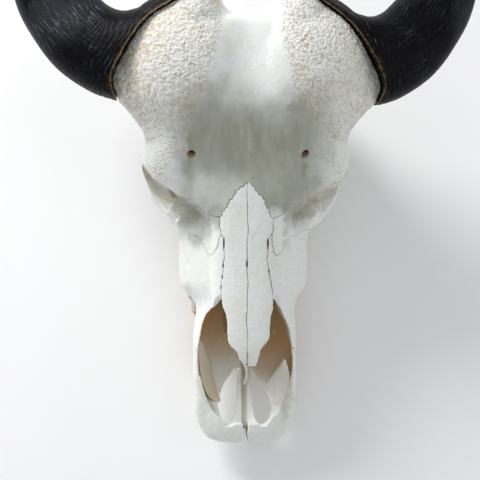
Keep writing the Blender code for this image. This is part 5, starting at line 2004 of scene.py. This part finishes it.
class SKULL_OT_frontal(Operator):
    """Part the forehead with its two horn cores from the skull"""

    bl_idname = "skull.frontal"
    bl_label = "Frontal bone"

    def execute(self, context):
        blank = need("skull_blank")
        for side, _ in SIDES:
            cut(blank, sheath_side("seat", side, SEAT_WANDER, SEAT_SEED + side))
        bone = parted(blank, frontal_cutter("cutter"), "bone")
        for side, _ in SIDES:
            core = grown(copy_of(need("skull_skin"), "core"), -CORE_INSET)
            region = grown(sheath_side("region", side), CORE_MARGIN)
            boolean(core, region, "INTERSECT")
            remove(region)
            # Painted shade: the core under the sheath takes the colour of the deepest hollows
            write(core, "shelter", np.ones(len(core.data.vertices)))
            mark_faces(core, 0)
            boolean(bone, core, "UNION")
            remove(core)
        remove(need("skull_skin"))
        finished_bone(bone, "frontal_bone", ["frontal_left", "frontal_right"])
        return {"FINISHED"}


class SKULL_OT_braincase(Operator):
    """Finish what is left of the skull: the braincase, the nape, the palate and the arches"""

    bl_idname = "skull.braincase"
    bl_label = "Braincase"

    def execute(self, context):
        finished_bone(need("skull_blank"), "braincase", ["cranium"])
        return {"FINISHED"}


class SKULL_OT_nose(Operator):
    """Make the thin leaves of bone that are left inside the nose"""

    bl_idname = "skull.nose"
    bl_label = "Nose leaves"

    def execute(self, context):
        for number, (thickness, arch, stain, near, far) in enumerate(NOSE_LEAVES, 1):
            piece = leaf("leaf", near, far, thickness, arch)
            smooth = piece.modifiers.new("finer", "SUBSURF")
            smooth.levels = smooth.render_levels = 2
            apply_modifiers(piece)
            write(piece, "umber", np.full(len(piece.data.vertices), stain))
            piece.data.materials.append(bone_material())
            node = "premaxilla_left" if near[0][0] > 0 else "premaxilla_right"
            finished(piece, f"nose_leaf_{number}", [node])
        return {"FINISHED"}


# The stage, in metres
FLOOR_HALF = 6.0
SKY = "#F6F7FA"
LAMP_AIM = Vector((0, 0, 0.1))
LAMPS = [
    # name, place, width, share of the key power
    ("key", (-1.5, 1.6, 1.25), 1.1, 1.15),
    ("fill_right", (1.8, -0.4, 1.4), 2.0, 0.12),
]
SENSOR = 36.0  # width of the sensor in millimetres
PHOTO_HALF_WIDTH = 276.0  # half of what the photograph spans at the level of the face, in millimetres
CAMERA_AIM = (-10.35, -66.7, 0)  # in the face frame, in millimetres
CAMERA_ROLL = 3.7  # the camera leans this many degrees to the skull's right


class SKULL_OT_stage(Operator):
    """Make the floor, the soft lamps and the camera"""

    bl_idname = "skull.stage"
    bl_label = "Stage"

    def execute(self, context):
        look = context.scene.skull_stage
        bm = bmesh.new()
        bmesh.ops.create_grid(bm, x_segments=1, y_segments=1, size=FLOOR_HALF)
        floor = object_from_bmesh("floor", bm)
        floor.data.materials.append(plaster_floor("plaster_board", look))
        world = bpy.data.worlds.new("studio")
        world.use_nodes = True
        sky = world.node_tree.nodes["Background"].inputs
        sky["Color"].default_value = linear(SKY)
        sky["Strength"].default_value = look.fill
        context.scene.world = world
        for name, place, size, power in LAMPS:
            lamp = bpy.data.lights.new(name, "AREA")
            lamp.shape = "DISK"
            lamp.size = size
            lamp.energy = power * look.key_power
            spot = bpy.data.objects.new(name, lamp)
            spot.location = place
            spot.rotation_euler = (LAMP_AIM - Vector(place)).to_track_quat("-Z", "Y").to_euler()
            context.scene.collection.objects.link(spot)
        roll = math.radians(CAMERA_ROLL)
        camera_data = bpy.data.cameras.new("camera")
        camera_data.sensor_width = SENSOR
        camera_data.lens = SENSOR / 2 / (PHOTO_HALF_WIDTH * MM / look.distance)
        camera = bpy.data.objects.new("camera", camera_data)
        aim = Vector(CAMERA_AIM) * MM + Vector((-math.sin(roll), 0, math.cos(roll))) * look.distance
        camera.matrix_world = TO_FLOOR @ Matrix.Translation(aim) @ Matrix.Rotation(-roll, 4, "Y")
        context.scene.collection.objects.link(camera)
        context.scene.camera = camera
        context.scene.view_settings.view_transform = "Standard"
        return {"FINISHED"}


class SKULL_PT_panel(Panel):
    """The pieces of the skull, in the order in which they are made"""

    bl_label = "Cape Buffalo Skull"
    bl_idname = "SKULL_PT_panel"
    bl_space_type = "VIEW_3D"
    bl_region_type = "UI"
    bl_category = "Skull"

    def draw(self, context):
        scene = context.scene
        for operator in OPERATORS:
            self.layout.operator(operator.bl_idname)
        for looks in (scene.skull_bone, scene.skull_horn, scene.skull_teeth, scene.skull_stage):
            box = self.layout.box()
            for name in looks.__annotations__:
                box.prop(looks, name)


LOOKS = {"skull_bone": BoneLook, "skull_horn": HornLook, "skull_teeth": ToothLook, "skull_stage": StageLook}
OPERATORS = (
    SKULL_OT_body,
    SKULL_OT_horns,
    SKULL_OT_nasals,
    SKULL_OT_lacrimals,
    SKULL_OT_cheekbones,
    SKULL_OT_premaxillae,
    SKULL_OT_maxillae,
    SKULL_OT_teeth,
    SKULL_OT_frontal,
    SKULL_OT_braincase,
    SKULL_OT_nose,
    SKULL_OT_stage,
)


def register():
    for made in (*LOOKS.values(), *OPERATORS, SKULL_PT_panel):
        bpy.utils.register_class(made)
    for name, looks in LOOKS.items():
        setattr(bpy.types.Scene, name, PointerProperty(type=looks))


def unregister():
    for name in LOOKS:
        delattr(bpy.types.Scene, name)
    for made in (SKULL_PT_panel, *OPERATORS[::-1], *LOOKS.values()):
        bpy.utils.unregister_class(made)


def main():
    register()
    for operator in OPERATORS:
        category, name = operator.bl_idname.split(".")
        getattr(getattr(bpy.ops, category), name)()


if __name__ == "__main__":
    main()
